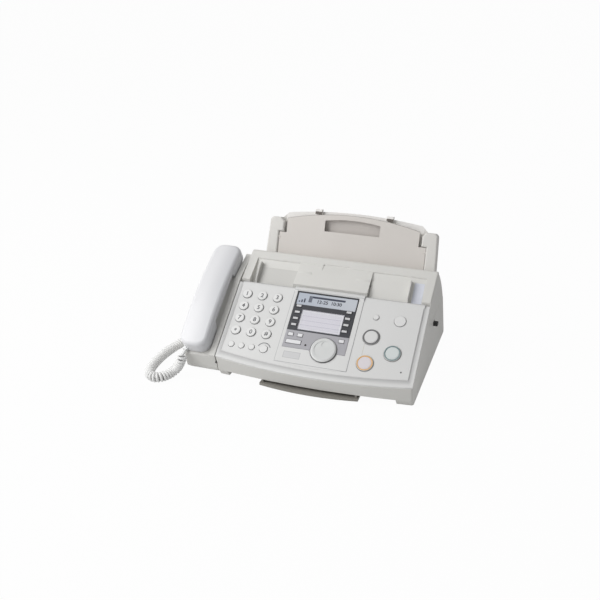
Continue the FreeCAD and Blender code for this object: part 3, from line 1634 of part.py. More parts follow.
def make_drive():
    idler_phase = "0"
    pinion = body_in("motor_pinion", frame_at("0", PINION[0], PINION[1], "0"))
    add_gear(pinion, "pinion_teeth", gap_phase("pinion_angle", "pinion_teeth", "idler_teeth", idler_phase))
    add_round(pinion, f"-{PLATE_OUT} - gear_gap - gear_width", f"-{PLATE_IN} + motor_length / 2", "shaft / 2")
    idler = body_in("idler_gear", frame_at("0", *IDLER, "0"))
    add_gear(idler, "idler_teeth", idler_phase)
    add_round(idler, f"-{PLATE_OUT} - gear_gap - gear_width", f"-{PLATE_IN} + wall", "shaft")
    full = [(f"-({PLATE_IN} - gear_gap)", f"{PLATE_IN} - gear_gap")]
    pair = [("-frame_half * 0.35", "-frame_half * 0.15"), ("frame_half * 0.15", "frame_half * 0.35")]
    platen_phase = gap_phase("platen_angle", "platen_teeth", "idler_teeth", idler_phase)
    make_roller("platen_roller", PLATEN, "platen_radius", full, "platen_teeth", platen_phase)
    feed_phase = gap_phase("feed_angle", "feed_teeth", "idler_teeth", idler_phase)
    make_roller("feed_roller", FEED, "feed_radius", pair, "feed_teeth", feed_phase)
    takeup_phase = gap_phase("takeup_angle", "takeup_teeth", "idler_teeth", idler_phase)
    film = [("-frame_half * 0.88", "frame_half * 0.88")]
    make_roller("film_takeup_roll", TAKEUP, "takeup_radius", film, "takeup_teeth", takeup_phase)
    pickup_phase = gap_phase("pickup_angle", "pickup_teeth", "takeup_teeth", takeup_phase)
    make_roller("pickup_roller", PICKUP, "pickup_radius", pair, "pickup_teeth", pickup_phase)
    make_roller("film_supply_roll", SUPPLY, "film_radius", film)
    # motor can on the inside of the left plate, with its mounting flange
    motor = body_in("drive_motor", frame_at("0", PINION[0], PINION[1], "0"))
    add_round(motor, f"-{PLATE_IN}", f"-{PLATE_IN} + wall / 2", "motor_radius + wall / 2")
    add_round(motor, f"-{PLATE_IN}", f"-{PLATE_IN} + motor_length", "motor_radius")
    sketch = sketch_on(motor, "YZ", f"-{PLATE_IN}")
    ring(sketch, "0", "0", "shaft / 2 + shaft_clearance")
    pocket(motor, sketch, "motor_length / 2 + lid_gap", back=True)


def make_roller_frame():
    """Two side plates joined by cross bars."""
    frame = body_in("roller_frame", CASE)
    front = f"({FEED[0]} - shaft * 9)"
    rear = "(supply_y + shaft * 4)"
    top = f"({FEED[1]} + shaft * 3.5)"
    high = f"({PICKUP[1]} + shaft * 3)"
    # the plates stand behind the main board and reach over it
    board_rear = "(main_front + main_length + wall)"
    board_top = "(main_z + board_thick + post_radius * 3)"
    for sign in ("", "-"):
        sketch = sketch_on(frame, "YZ", f"{sign}frame_half")
        outline(
            sketch,
            [
                (board_rear, FLOOR_TOP),
                (rear, FLOOR_TOP),
                (rear, "supply_z + shaft * 4"),
                (f"{PICKUP[0]} + shaft * 4", high),
                (f"{PICKUP[0]} - shaft * 4", high),
                (f"{TAKEUP[0]} - shaft * 2", top),
                (f"{FEED[0]} - shaft * 2", top),
                (front, f"{FEED[1]} - shaft * 3"),
                (front, board_top),
                (board_rear, board_top),
            ],
        )
        pad(frame, sketch, "frame_thick", both=True)
    sketch = sketch_on(frame, "YZ")
    box_outline(sketch, f"{rear} - shaft * 2", f"{rear} - shaft", FLOOR_TOP, f"{FLOOR_TOP} + shaft * 3")
    near, far = f"{PLATEN[0]} + shaft * 5", f"{PLATEN[0]} + shaft * 8"
    box_outline(sketch, near, far, FLOOR_TOP, f"{FLOOR_TOP} + frame_thick")
    pad(frame, sketch, "frame_half * 2", both=True)
    sketch = sketch_on(frame, "YZ")
    for y, z in (IDLER, PLATEN, FEED, TAKEUP, PICKUP, SUPPLY):
        ring(sketch, y, z, "shaft + shaft_clearance")
    ring(sketch, PINION[0], PINION[1], "shaft / 2 + lid_gap * 2")
    pocket(frame, sketch, "body_width", both=True)


def make_print_head():
    """Thermal head: a finned block with a narrow ridge under the platen."""
    head = body_in("thermal_head", CASE)
    sketch = sketch_on(head, "YZ")
    y, z = PLATEN
    ridge = f"{z} - platen_radius - lid_gap"
    foot = "(head_depth / 2)"
    outline(
        sketch,
        [
            (f"{y} - {foot}", FLOOR_TOP),
            (f"{y} + {foot}", FLOOR_TOP),
            (f"{y} + {foot}", f"{ridge} - wall"),
            (f"{y} + wall / 2", f"{ridge} - wall"),
            (f"{y} + wall / 2", ridge),
            (f"{y} - wall / 2", ridge),
            (f"{y} - wall / 2", f"{ridge} - wall"),
            (f"{y} - {foot}", f"{ridge} - wall"),
        ],
    )
    pad(head, sketch, f"({PLATE_IN} - gear_gap) * 2", both=True)
    # cooling slots along the front and back
    for sign in ("+", "-"):
        sketch = sketch_on(head, "YZ")
        for step in (1, 2, 3):
            level = f"({FLOOR_TOP} + wall * {step * 1.5})"
            ends = (f"{y} {sign} wall", f"{y} {sign} (head_depth)")
            low, high = ends if sign == "+" else ends[::-1]
            box_outline(sketch, low, high, f"{level} - wall / 3", f"{level} + wall / 3")
        pocket(head, sketch, f"{PLATE_IN} * 1.8", both=True)


def make_image_sensor():
    """Contact image sensor in front of the feed roller, with a glass strip let into its top."""
    sensor = body_in("image_sensor", CASE)
    y, z = FEED
    sketch = sketch_on(sensor, "YZ")
    rear = f"({y} - feed_radius - shaft - wall)"
    outline(
        sketch,
        [
            (f"{rear} - sensor_depth", f"{z} - sensor_height"),
            (rear, f"{z} - sensor_height"),
            (rear, z),
            (f"{rear} - wall", z),
            (f"{rear} - wall", f"{z} - seam * 2"),
            (f"{rear} - sensor_depth + wall", f"{z} - seam * 2"),
            (f"{rear} - sensor_depth + wall", f"{z} - wall"),
            (f"{rear} - sensor_depth", f"{z} - wall"),
        ],
    )
    pad(sensor, sketch, f"{PLATE_IN} * 2", both=True)


def make_power_unit():
    unit = body_in("power_unit", CASE)
    left, right = f"({PLATE_OUT} + gear_gap * 2)", "(body_width / 2 - wall - skirt_gap)"
    front = "lever_y"
    sketch = sketch_on(unit, "XY", FLOOR_TOP)
    box_outline(sketch, left, right, front, f"{front} + power_length")
    pad(unit, sketch, "power_height")
    # vent slots across the top
    sketch = sketch_on(unit, "XY", f"{FLOOR_TOP} + power_height")
    for step in range(1, 7):
        spot = f"({front} + power_length / 7 * {step})"
        near, far = f"{spot} - seam * 3", f"{spot} + seam * 3"
        box_outline(sketch, f"{left} + wall * 2", f"{right} - wall * 2", near, far)
    pocket(unit, sketch, "wall")


def make_socket(label, x, width, height, ports):
    """A socket block in the rear wall, with a flange inside and hollows that open outward."""
    block = body_in(label, REAR)
    sketch = sketch_on(block, "XY", f"-{height} / 2")
    box_outline(sketch, f"{x} - {width} / 2", f"{x} + {width} / 2", "-socket_depth", "seam")
    pad(block, sketch, height)
    sketch = sketch_on(block, "XY", f"-{height} / 2 - wall")
    box_outline(sketch, f"{x} - {width} / 2 - wall", f"{x} + {width} / 2 + wall", "-wall * 2", "-wall")
    pad(block, sketch, f"{height} + wall * 2")
    sketch = sketch_on(block, "XZ", "-wall")
    for center, wide, tall in ports:
        box_outline(
            sketch,
            f"{x} + {center} - {wide} / 2",
            f"{x} + {center} + {wide} / 2",
            f"-{tall} / 2",
            f"{tall} / 2",
        )
    pocket(block, sketch, "socket_depth", back=True)
    return block


def make_sockets():
    port = ("0", "(inlet_width - wall * 2)", "(inlet_height - wall * 2)")
    inlet = make_socket("power_inlet", "inlet_x", "inlet_width", "inlet_height", [port])
    sketch = sketch_on(inlet, "XZ", "socket_depth - wall / 2")
    for sign in ("+", "-"):
        ring(sketch, f"inlet_x {sign} inlet_width / 6", "0", "screw_radius * 0.7")
    pad(inlet, sketch, "socket_depth - wall * 1.5", back=True)
    ports = [
        (f"{sign}jack_width / 4", "(jack_width / 2 - wall)", "(jack_height - wall * 2)") for sign in ("", "-")
    ]
    make_socket("line_jacks", "jack_x", "jack_width", "jack_height", ports)


def make_release_lever():
    """Tab through the right wall with a foot inside that slides along the wall."""
    lever = body_in("release_lever", CASE)
    sketch = sketch_on(lever, "YZ", "body_width / 2 + lever_reach")
    box_outline(sketch, "lever_y", "lever_y + lever_length", "lever_z", "lever_z + lever_height")
    pad(lever, sketch, "lever_reach + wall * 2", back=True)
    tip = value("body_width / 2 + lever_reach")
    soften(lever, "lever_height / 4", lambda edge: abs(edge.BoundBox.XMin - tip) < 1e-4)
    sketch = sketch_on(lever, "YZ", "body_width / 2 - wall - lid_gap")
    box_outline(
        sketch,
        "lever_y - lever_travel - wall",
        "lever_y + lever_length + lever_travel + wall",
        "lever_z - wall",
        "lever_z + lever_height + wall",
    )
    pad(lever, sketch, "wall", back=True)


def bent_edge(start, bend, stop):
    """An arc between two points whose end tangents meet at the bend."""
    middle = (start + stop) * 0.5
    rise = bend - middle
    half = start.distanceToPoint(stop) / 2
    if rise.Length < 1e-5 * half:
        return Part.LineSegment(start, stop).toShape()
    quarter = math.atan2(rise.Length, half) / 2
    return Part.Arc(start, middle + rise.normalize() * (half * math.tan(quarter)), stop).toShape()


def biarc(start, heading, stop, arriving):
    """Two arcs that leave one point along its heading and reach the other along its own."""
    across = stop - start
    sweep = across.dot(heading + arriving)
    turn = 2 * (1 - heading.dot(arriving))
    if turn < 1e-9:
        reach = across.dot(across) / (4 * across.dot(arriving))
    else:
        reach = (math.sqrt(sweep * sweep + turn * across.dot(across)) - sweep) / turn
    near, far = start + heading * reach, stop - arriving * reach
    joint = (near + far) * 0.5
    return [bent_edge(start, near, joint), bent_edge(joint, far, stop)]


def cord_line():
    """The cord's middle line from the base's plug, round a loop on the table and up to the handset's plug."""
    wire = value("cord_wire")
    out = value(f"{CRADLE_X} - cradle_width - plug_proud")
    base = CASE.multVec(Vector(out, value("cord_y"), value("cord_z")))
    mouth = HANDSET.multVec(Vector(value("plug_x"), -value("plug_proud"), value("plug_n")))
    leave = Vector(-1, 0, 0)
    enter = HANDSET.Rotation.multVec(Vector(0, 1, 0))
    low = value("cord_radius + cord_wire / 2 + seam * 3")
    loop = [
        (-253, 94.5, 16),
        (-270, 84, low + 2.5),
        (-279.5, 62, low),
        (-283.5, 34, low),
        (-284, 5, low),
        (-281.5, -17, low),
        (-275, -33.5, low),
        (-264, -41.5, low),
        (-252.5, -39.5, low),
        (-245, -29.5, low),
        (-239.5, -17.5, low + 0.6),
        (-233.5, -8.5, 15),
        (-226.5, -9.5, 26),
        (-222, -10.5, 35),
    ]
    start, stop = base + leave * (wire * 1.5), mouth - enter * (wire * 1.5)
    points = [CASE.multVec(Vector(*spot)) for spot in loop]
    points = [start, start + leave * wire] + points + [stop - enter * wire, stop]
    curve = Part.BSplineCurve()
    curve.interpolate(points)
    return base, start, curve, stop, mouth


def cord_coil(curve):
    """Points along the coiled cord, a sixteenth of a turn apart, straight tails at both ends."""
    pitch, radius = value("cord_pitch"), value("cord_radius")
    length = curve.length()
    tail_in, tail_out = length * 0.05, length * 0.11
    turns = round((length - tail_in - tail_out) / pitch)
    count = int(length / pitch * 16)
    first = int(tail_in / length * count)
    last = first + turns * 16
    across = None
    points = []
    for step in range(count + 1):
        place = curve.parameterAtDistance(min(length * step / count, length * (1 - 1e-9)))
        spot = curve.value(place)
        along = Vector(*curve.tangent(place)[0])
        if across is None:
            across = along.cross(Vector(0, 0, 1))
        across = across - along * across.dot(along)
        across.normalize()
        ramp = min(max(min(step - first, last - step) / 24, 0), 1)
        swell = radius * ramp * ramp * (3 - 2 * ramp)
        angle = 2 * math.pi * (step - first) / 16
        outward = across * math.cos(angle) + along.cross(across) * math.sin(angle)
        points.append(spot + outward * swell)
    return points


def make_cord():
    wire = value("cord_wire")
    base, start, curve, stop, mouth = cord_line()
    points = cord_coil(curve)
    points[0], points[-1] = start, stop
    keep = list(range(0, len(points) - 4, 4)) + [len(points) - 1]
    headings = []
    for index in keep:
        before, after = points[max(index - 1, 0)], points[min(index + 1, len(points) - 1)]
        headings.append((after - before).normalize())
    headings[0] = (start - base).normalize()
    headings[-1] = (mouth - stop).normalize()
    edges = [Part.LineSegment(base, start).toShape()]
    for index in range(len(keep) - 1):
        edges += biarc(points[keep[index]], headings[index], points[keep[index + 1]], headings[index + 1])
    edges.append(Part.LineSegment(stop, mouth).toShape())
    path = Part.Wire(edges)
    circle = Part.Wire(Part.Circle(base, (start - base).normalize(), wire / 2).toShape())
    sweep = Part.BRepOffsetAPI.MakePipeShell(path)
    sweep.add(circle)
    sweep.build()
    sweep.makeSolid()
    cord = doc.addObject("Part::Feature", "handset_cord")
    cord.Label = "handset_cord"
    cord.Shape = sweep.shape()
    along = [0]
    for before, after in zip(points, points[1:]):
        along.append(along[-1] + before.distanceToPoint(after))
    gap = min(
        points[one].distanceToPoint(points[two])
        for one in range(0, len(points), 2)
        for two in range(one, len(points), 2)
        if along[two] - along[one] > wire * 3
    )
    print(f"cord: {len(edges)} edges, least gap between curls {gap - wire:.2f} mm")
    return cord


def check_and_write(nodes):
    """Every object built without an error and every piece is one valid shape; then one file for each."""
    bad = [part.Label for part in doc.Objects if "Invalid" in part.State or "Error" in part.State]
    bad += [node.Label for node in nodes if node.Shape.isNull() or not node.Shape.isValid()]
    if bad:
        raise RuntimeError("not built: " + ", ".join(bad))
    for node in nodes:
        node.Shape.exportStep(f"parts/{node.Label}.step")
    print(f"{len(nodes)} pieces written")


make_base_case()
make_main_board()
make_case_screws()
make_rubber_feet()
make_exit_guide()
make_front_cover()
for round_key in round_keys():
    make_round_key(*round_key)
make_key_strips()
make_jog_dial()
make_display()
make_panel_board()
make_back_cover()
make_document_guides()
make_paper_tray()
make_tension_plate()
make_cradle()
make_hook_switch()
make_handset()
make_plugs()
make_drive()
make_roller_frame()
make_print_head()
make_image_sensor()
make_power_unit()
make_sockets()
make_release_lever()
make_cord()
doc.recompute()
os.makedirs("parts", exist_ok=True)
kinds = ("PartDesign::Body", "Part::Compound")
check_and_write([part for part in doc.Objects if part.TypeId in kinds or part.Label == "handset_cord"])
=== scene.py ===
import math

import bpy
from mathutils import Matrix, Quaternion, Vector


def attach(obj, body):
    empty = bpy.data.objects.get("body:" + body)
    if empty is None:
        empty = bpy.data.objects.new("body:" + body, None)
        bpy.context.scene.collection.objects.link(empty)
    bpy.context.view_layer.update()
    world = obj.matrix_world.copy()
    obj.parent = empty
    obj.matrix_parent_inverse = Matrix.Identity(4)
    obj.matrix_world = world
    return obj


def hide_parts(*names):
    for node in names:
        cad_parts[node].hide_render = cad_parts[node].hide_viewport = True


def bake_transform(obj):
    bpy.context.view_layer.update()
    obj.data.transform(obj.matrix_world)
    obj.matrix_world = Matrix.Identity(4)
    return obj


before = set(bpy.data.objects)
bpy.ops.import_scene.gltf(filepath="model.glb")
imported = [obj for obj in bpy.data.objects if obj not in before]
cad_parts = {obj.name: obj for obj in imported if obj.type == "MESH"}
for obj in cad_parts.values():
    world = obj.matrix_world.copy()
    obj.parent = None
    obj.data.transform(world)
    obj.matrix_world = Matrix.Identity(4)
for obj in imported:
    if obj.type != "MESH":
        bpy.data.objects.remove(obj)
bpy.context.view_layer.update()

scene = bpy.context.scene
scene.view_settings.view_transform = "Standard"
print("frame loaded:", len(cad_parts), "nodes")

# the sloping operation panel: x across, y up the slope, z out of it; half its width and the bow of its front
panel = {"origin": (0.02775, -0.14109, 0.0444), "slope": math.radians(36.2), "half": 0.1675, "bow": 0.0116}
panelFrame = Matrix.Translation(panel["origin"]) @ Matrix.Rotation(panel["slope"], 4, "X")


def tint(red, green, blue):  # a screen colour, 0 to 255, as the shader's linear colour
    def straight(level):
        level /= 255
        return level / 12.92 if level <= 0.04045 else ((level + 0.055) / 1.055) ** 2.4
    return (straight(red), straight(green), straight(blue), 1)


def shade(colour, factor):  # the same colour, darker or paler
    return tuple(channel * factor for channel in colour[:3]) + (1,)


# camera at the photograph's angle
camera = {
    "place": (0.39745, -1.2709, 0.7260), "target": (-0.01588, -0.06109, 0.12983), "lens": 50.8, "roll": -0.32,
}


def aimed(place):  # the turn that makes a camera or a light at this place look at the target
    return (Vector(camera["target"]) - Vector(place)).to_track_quat("-Z", "Y")


bpy.ops.object.camera_add(location=camera["place"])
eye = bpy.context.object
eye.data.lens = camera["lens"]
eye.rotation_mode = "QUATERNION"
eye.rotation_quaternion = aimed(camera["place"]) @ Quaternion((0, 0, 1), math.radians(camera["roll"]))
scene.camera = eye
print("camera placed")


class Flow:  # a shader socket that takes part in sums like a number
    def __init__(self, finish, socket):
        self.finish = finish
        self.socket = socket

    def sum(self, operation, first, second):
        return self.finish.node("ShaderNodeMath", {"operation": operation}, {0: first, 1: second})

    def __add__(self, other):
        return self.sum("ADD", self, other)

    __radd__ = __add__

    def __sub__(self, other):
        return self.sum("SUBTRACT", self, other)

    def __rsub__(self, other):
        return self.sum("SUBTRACT", other, self)

    def __mul__(self, other):
        return self.sum("MULTIPLY", self, other)

    __rmul__ = __mul__

    def __truediv__(self, other):
        return self.sum("DIVIDE", self, other)


# moulded plastic: scales of its broad mottling and fine grain, their shares in the tone, how far the tone
# wanders, the spread of its roughness and the depth of its grain
plastic = {"broad": 14, "fine": 2200, "broadShare": 0.6, "fineShare": 0.4, "dark": 0.93, "pale": 1.06,
           "spread": 0.16, "depth": 0.0002}


class Finish:  # one procedural material
    def __init__(self, name):
        self.material = bpy.data.materials.new(name)
        self.material.use_nodes = True
        self.tree = self.material.node_tree
        self.shader = self.tree.nodes["Principled BSDF"]
        self.place = self.node("ShaderNodeTexCoord", output="Object")

    def node(self, kind, settings=None, inputs=None, output=0):
        made = self.tree.nodes.new(kind)
        for key, setting in (settings or {}).items():
            setattr(made, key, setting)
        for key, feed in (inputs or {}).items():
            self.feed(made.inputs[key], feed)
        return Flow(self, made.outputs[output])

    def feed(self, socket, feed):  # a link or a plain value
        if isinstance(feed, Flow):
            self.tree.links.new(feed.socket, socket)
        else:
            socket.default_value = feed

    def put(self, **feeds):  # feeds the main shader; baseColor means Base Color
        for key, feed in feeds.items():
            words = "".join(" " + letter if letter.isupper() else letter for letter in key).title()
            self.feed(self.shader.inputs[words], feed)

    def local(self, origin, tilt):  # coordinates of a frame tilted about x, such as the panel's
        inputs = {"Vector": self.place, "Location": origin, "Rotation": (tilt, 0, 0)}
        return self.node("ShaderNodeMapping", {"vector_type": "TEXTURE"}, inputs)

    def onPanel(self):
        return self.local(panel["origin"], panel["slope"])

    def noise(self, scale, detail=2, where=None):
        inputs = {"Vector": where or self.place, "Scale": scale, "Detail": detail}
        return self.node("ShaderNodeTexNoise", None, inputs)

    def grain(self, scale=plastic["fine"]):  # fine noise, for gloss and relief
        return self.noise(scale, 3)

    def axis(self, where, letter):
        return self.node("ShaderNodeSeparateXYZ", None, {0: where}, letter)

    def unsigned(self, feed):
        return self.node("ShaderNodeMath", {"operation": "ABSOLUTE"}, {0: feed})

    def step(self, feed, low, high):  # 0 below low, 1 above high, smooth between
        inputs = {"Value": feed, "From Min": low, "From Max": high}
        return self.node("ShaderNodeMapRange", {"interpolation_type": "SMOOTHSTEP"}, inputs)

    def under(self, feed, low, high):  # 1 below low, 0 above high
        return 1 - self.step(feed, low, high)

    def band(self, feed, low, high, soft=0.0001):  # 1 between low and high
        return self.step(feed, low - soft, low + soft) * self.under(feed, high - soft, high + soft)

    def patch(self, where, left, right, low, high):  # 1 inside a rectangle
        return self.band(self.axis(where, "X"), left, right) * self.band(self.axis(where, "Y"), low, high)

    def border(self, where, left, right, low, high, width):  # 1 on a rectangle's outline
        inner = self.patch(where, left + width, right - width, low + width, high - width)
        return self.patch(where, left, right, low, high) * (1 - inner)

    def reach(self, where, x, y):  # distance from a point of the plane
        shifted = self.node("ShaderNodeVectorMath", {"operation": "SUBTRACT"}, {0: where, 1: (x, y, 0)})
        flat = self.node("ShaderNodeVectorMath", {"operation": "MULTIPLY"}, {0: shifted, 1: (1, 1, 0)})
        return self.node("ShaderNodeVectorMath", {"operation": "LENGTH"}, {0: flat}, "Value")

    def mix(self, factor, first, second):
        return self.node("ShaderNodeMix", {"data_type": "RGBA"}, {0: factor, 6: first, 7: second}, 2)

    def mottle(self, grain, dark, pale):  # a tone that wanders a little, broadly and finely
        broad = self.noise(plastic["broad"])
        return self.mix(broad * plastic["broadShare"] + grain * plastic["fineShare"], dark, pale)

    def surface(self, tone, grain, rough, spread, strength, depth):  # tone, uneven gloss and relief
        self.put(baseColor=tone, roughness=rough + (grain - 0.5) * spread)
        inputs = {"Height": grain, "Strength": strength, "Distance": depth}
        self.put(normal=self.node("ShaderNodeBump", None, inputs))
        return self.material


def moulding(name, colour, rough, strength):
    finish = Finish(name)
    grain = finish.grain()
    tone = finish.mottle(grain, shade(colour, plastic["dark"]), shade(colour, plastic["pale"]))
    return finish.surface(tone, grain, rough, plastic["spread"], strength, plastic["depth"])


# the plain plastics and rubbers: tone, roughness and strength of the grain
tones = {
    "case": (tint(221, 220, 216), 0.55, 0.35),
    # painted shade: the left document guide is a darker copy of the case tone, standing in for the shadow of
    # the recess's left wall
    "guide": (tint(206, 205, 201), 0.55, 0.35),
    "dark": (tint(64, 63, 64), 0.5, 0.25),
    # painted shade: the exit guide's dark grey stands in for the shade under the body's front
    "exit": (tint(140, 137, 131), 0.55, 0.3),
    "lever": (tint(24, 24, 25), 0.45, 0.2),
    "cord": (tint(238, 238, 237), 0.4, 0.1),
    "rubber": (tint(45, 45, 46), 0.8, 0.6),
    "gear": (tint(226, 224, 214), 0.4, 0.12),
    "roller": (tint(52, 52, 54), 0.75, 0.5),
    "film": (tint(26, 26, 30), 0.28, 0.06),
    "print": (tint(96, 97, 100), 0.6, 0.05),
    "ink": (tint(58, 60, 70), 0.5, 0.05),
    "lamp": (tint(62, 58, 58), 0.25, 0.04),
    "sizePlate": (tint(216, 219, 229), 0.4, 0.08),
}

# brushed metals: tone and roughness of each, then the brush marks' scale and how they show
metals = {"steel": (tint(176, 178, 180), 0.4), "aluminium": (tint(196, 198, 200), 0.45)}
brush = {"scale": (30, 900, 900), "dark": 0.85, "pale": 1.08, "spread": 0.2, "strength": 0.08,
         "depth": 0.0002}


def sheetMetal(name, colour, rough):
    finish = Finish(name)
    stretched = finish.node("ShaderNodeMapping", None, {"Vector": finish.place, "Scale": brush["scale"]})
    marks = finish.noise(2, 4, stretched)
    tone = finish.mix(marks, shade(colour, brush["dark"]), shade(colour, brush["pale"]))
    finish.put(metallic=1.0)
    return finish.surface(tone, marks, rough, brush["spread"], brush["strength"], brush["depth"])


# ring buttons: centre on the panel, inner and outer radius of the ring, tones of ring and cap; here and
# below, a surface is its roughness, the spread of that, and the strength and depth of the grain
buttons = {
    "fax_button": ((0.0848, 0.0757), 0.0112, 0.0138, tint(112, 112, 113), tint(222, 222, 221)),
    "stop_button": ((0.0848, 0.0283), 0.0112, 0.0131, tint(230, 182, 112), tint(224, 218, 222)),
    "copy_button": ((0.1248, 0.0523), 0.0112, 0.0132, tint(124, 144, 146), tint(216, 222, 221)),
}
# painted shade: beyond the ring's outer radius the button's side takes the grey collar tone
ringed = {"collar": tint(192, 191, 189), "ringSoft": 0.0002, "collarSoft": 0.0003, "dark": 0.96, "pale": 1.04,
          "grain": 2400, "surface": (0.42, 0.14, 0.12, 0.0001)}


def ringFinish(name, centre, inner, outer, ringTone, capTone):
    finish = Finish(name)
    grain = finish.grain(ringed["grain"])
    away = finish.reach(finish.onPanel(), *centre)
    ring = finish.band(away, inner, outer, ringed["ringSoft"])
    # painted shade on the button's side, outside the ring
    collar = finish.step(away, outer, outer + ringed["collarSoft"])
    cap = finish.mix(grain, shade(capTone, ringed["dark"]), shade(capTone, ringed["pale"]))
    tone = finish.mix(collar, finish.mix(ring, cap, ringTone), ringed["collar"])
    return finish.surface(tone, grain, *ringed["surface"])


# pale key caps whose sides are darker, painted shade on the sides: tones of top and side, height of the top,
# depth of its pale edge
caps = {
    "key": (tint(230, 230, 229), tint(146, 147, 148), 0.0040, 0.0009),
    "low_key": (tint(228, 228, 227), tint(150, 151, 152), 0.0032, 0.0007),
    "menu_key": (tint(232, 232, 234), tint(120, 120, 124), 0.00396, 0.0004),
    "station_key": (tint(208, 208, 210), tint(62, 62, 66), 0.00396, 0.0002),
}
capped = {"dark": 0.95, "pale": 1.05, "soft": 0.0002, "surface": (0.42, 0.16, 0.12, 0.0002)}


def shadedSideCapFinish(name, top, side, height, edge):
    finish = Finish(name)
    grain = finish.grain()
    cap = finish.mottle(grain, shade(top, capped["dark"]), shade(top, capped["pale"]))
    out = finish.axis(finish.onPanel(), "Z")
    upper = finish.step(out, height - edge - capped["soft"], height - edge + capped["soft"])
    # painted shade: below its pale edge each cap takes the dark side tone
    return finish.surface(finish.mix(upper, side, cap), grain, *capped["surface"])


# see-through plastics: tone and how much of it shows
clears = {"window": (tint(238, 240, 246), 0.16), "plug": (tint(226, 228, 228), 0.72)}
clear = {"haze": 600, "dark": 0.97, "rough": 0.06, "spread": 0.06, "coat": 1.0, "coatRough": 0.05}


def clearFinish(name, colour, alpha):
    finish = Finish(name)
    haze = finish.noise(clear["haze"])
    tone = finish.mix(haze, shade(colour, clear["dark"]), colour)
    finish.put(baseColor=tone, roughness=clear["rough"] + haze * clear["spread"])
    finish.put(alpha=alpha, coatWeight=clear["coat"], coatRoughness=clear["coatRough"])
    return finish.material


# marks on the panel: seam of the middle plate, a bare framed patch, an arc over the round key, a thin line,
# the microphone's hole and a dark left edge; the seam, the hole and the left edge are painted shade, standing
# in for the shadow in the plate's groove, in the hole and in the gap beside the cradle; the sunk rim round
# the face is darkest beside the face, painted shade of that valley
panelMarks = {
    "plate": (-0.0645, 0.0590, 0.0080, 0.1440, 0.0008), "frame": (-0.0520, -0.0232, 0.0166, 0.0284, 0.0006),
    "arcCentre": (-0.0874, 0.0255), "arc": (0.0104, 0.0120), "arcFrom": (0.0295, 0.0299),
    "line": (0.0764, 0.0770, 0.0425, 0.0615), "hole": (0.1448, 0.0225), "holeEdge": (0.0012, 0.0016),
    "sunk": (0.0002, 0.0008), "rimFront": (0.0030, 0.0115), "rimSide": (0.0015, 0.0085),
    "leftSeamShade": (-0.1668, -0.1665), "dark": tint(216, 216, 215), "pale": tint(227, 227, 226),
    "surface": (0.48, 0.16, 0.18, 0.0002),
}
# tone of each mark and how strongly it covers the face, in the order they are laid on
panelTones = {
    # the valley, seam, hole and left edge tones are painted shade
    "valleyShade": (tint(180, 180, 180), 0.8),
    "seam": (tint(160, 161, 163), 0.9),
    "patch": (tint(200, 200, 202), 0.6),
    "frame": (tint(176, 176, 178), 1),
    "hole": (tint(108, 108, 110), 1),
    "leftSeamShade": (tint(126, 126, 124), 1),
    "arc": (tint(120, 121, 124), 1),
    "line": (tint(196, 192, 178), 1),
}


def panelFinish():
    finish = Finish("panel")
    grain = finish.grain()
    where = finish.onPanel()
    across, along, out = [finish.axis(where, letter) for letter in "XYZ"]
    share = across / panel["half"]
    fromFront = finish.step(along + panel["bow"] * (1 - share * share), *panelMarks["rimFront"])
    fromSide = finish.step(panel["half"] - finish.unsigned(across), *panelMarks["rimSide"])
    arc = finish.band(finish.reach(where, *panelMarks["arcCentre"]), *panelMarks["arc"])
    # the valley, seam, hole and left edge masks place painted shade
    masks = {
        "valleyShade": finish.under(out, *panelMarks["sunk"]) * fromFront * fromSide,
        "seam": finish.border(where, *panelMarks["plate"]),
        "patch": finish.patch(where, *panelMarks["frame"][:4]),
        "frame": finish.border(where, *panelMarks["frame"]),
        "hole": finish.under(finish.reach(where, *panelMarks["hole"]), *panelMarks["holeEdge"]),
        "leftSeamShade": finish.under(across, *panelMarks["leftSeamShade"]),
        "arc": arc * finish.step(along, *panelMarks["arcFrom"]),
        "line": finish.patch(where, *panelMarks["line"]),
    }
    tone = finish.mottle(grain, panelMarks["dark"], panelMarks["pale"])
    for mark, (markTone, strength) in panelTones.items():
        tone = finish.mix(masks[mark] * strength, tone, markTone)
    return finish.surface(tone, grain, *panelMarks["surface"])


# the display's bezel: dark above a line across the panel, grey below it
bezel = {"line": (0.0672, 0.0676), "upper": tint(60, 61, 66), "dark": tint(168, 167, 172),
         "pale": tint(178, 177, 182), "grain": 2400, "surface": (0.4, 0.12, 0.1, 0.0001)}


def bezelFinish():
    finish = Finish("bezel")
    grain = finish.grain(bezel["grain"])
    upper = finish.step(finish.axis(finish.onPanel(), "Y"), *bezel["line"])
    lower = finish.mix(grain, bezel["dark"], bezel["pale"])
    return finish.surface(finish.mix(upper, lower, bezel["upper"]), grain, *bezel["surface"])


# the display: a dark bar across the top line with a dark end, and three level bars at its left
display = {
    "bar": (-0.0335, 0.0280, 0.1316, 0.1354), "end": (-0.0352, -0.0292, 0.1232, 0.1354), "endShare": 0.8,
    "levels": 3, "levelX": -0.0520, "levelStep": 0.0044, "levelWidth": 0.0026, "levelBase": 0.1216,
    "levelRise": 0.0026, "sides": (-0.055, 0.05), "left": tint(190, 197, 208), "right": tint(206, 210, 217),
    "cell": tint(160, 168, 180), "cellScale": 5200, "cellShare": 0.25, "mark": tint(74, 78, 92),
    "rough": 0.22, "spread": 0.06, "coat": 0.6, "coatRough": 0.08,
    "figures": "12-25  10:30", "size": 0.0086, "place": (0.0020, 0.1262, 0.0024),
}


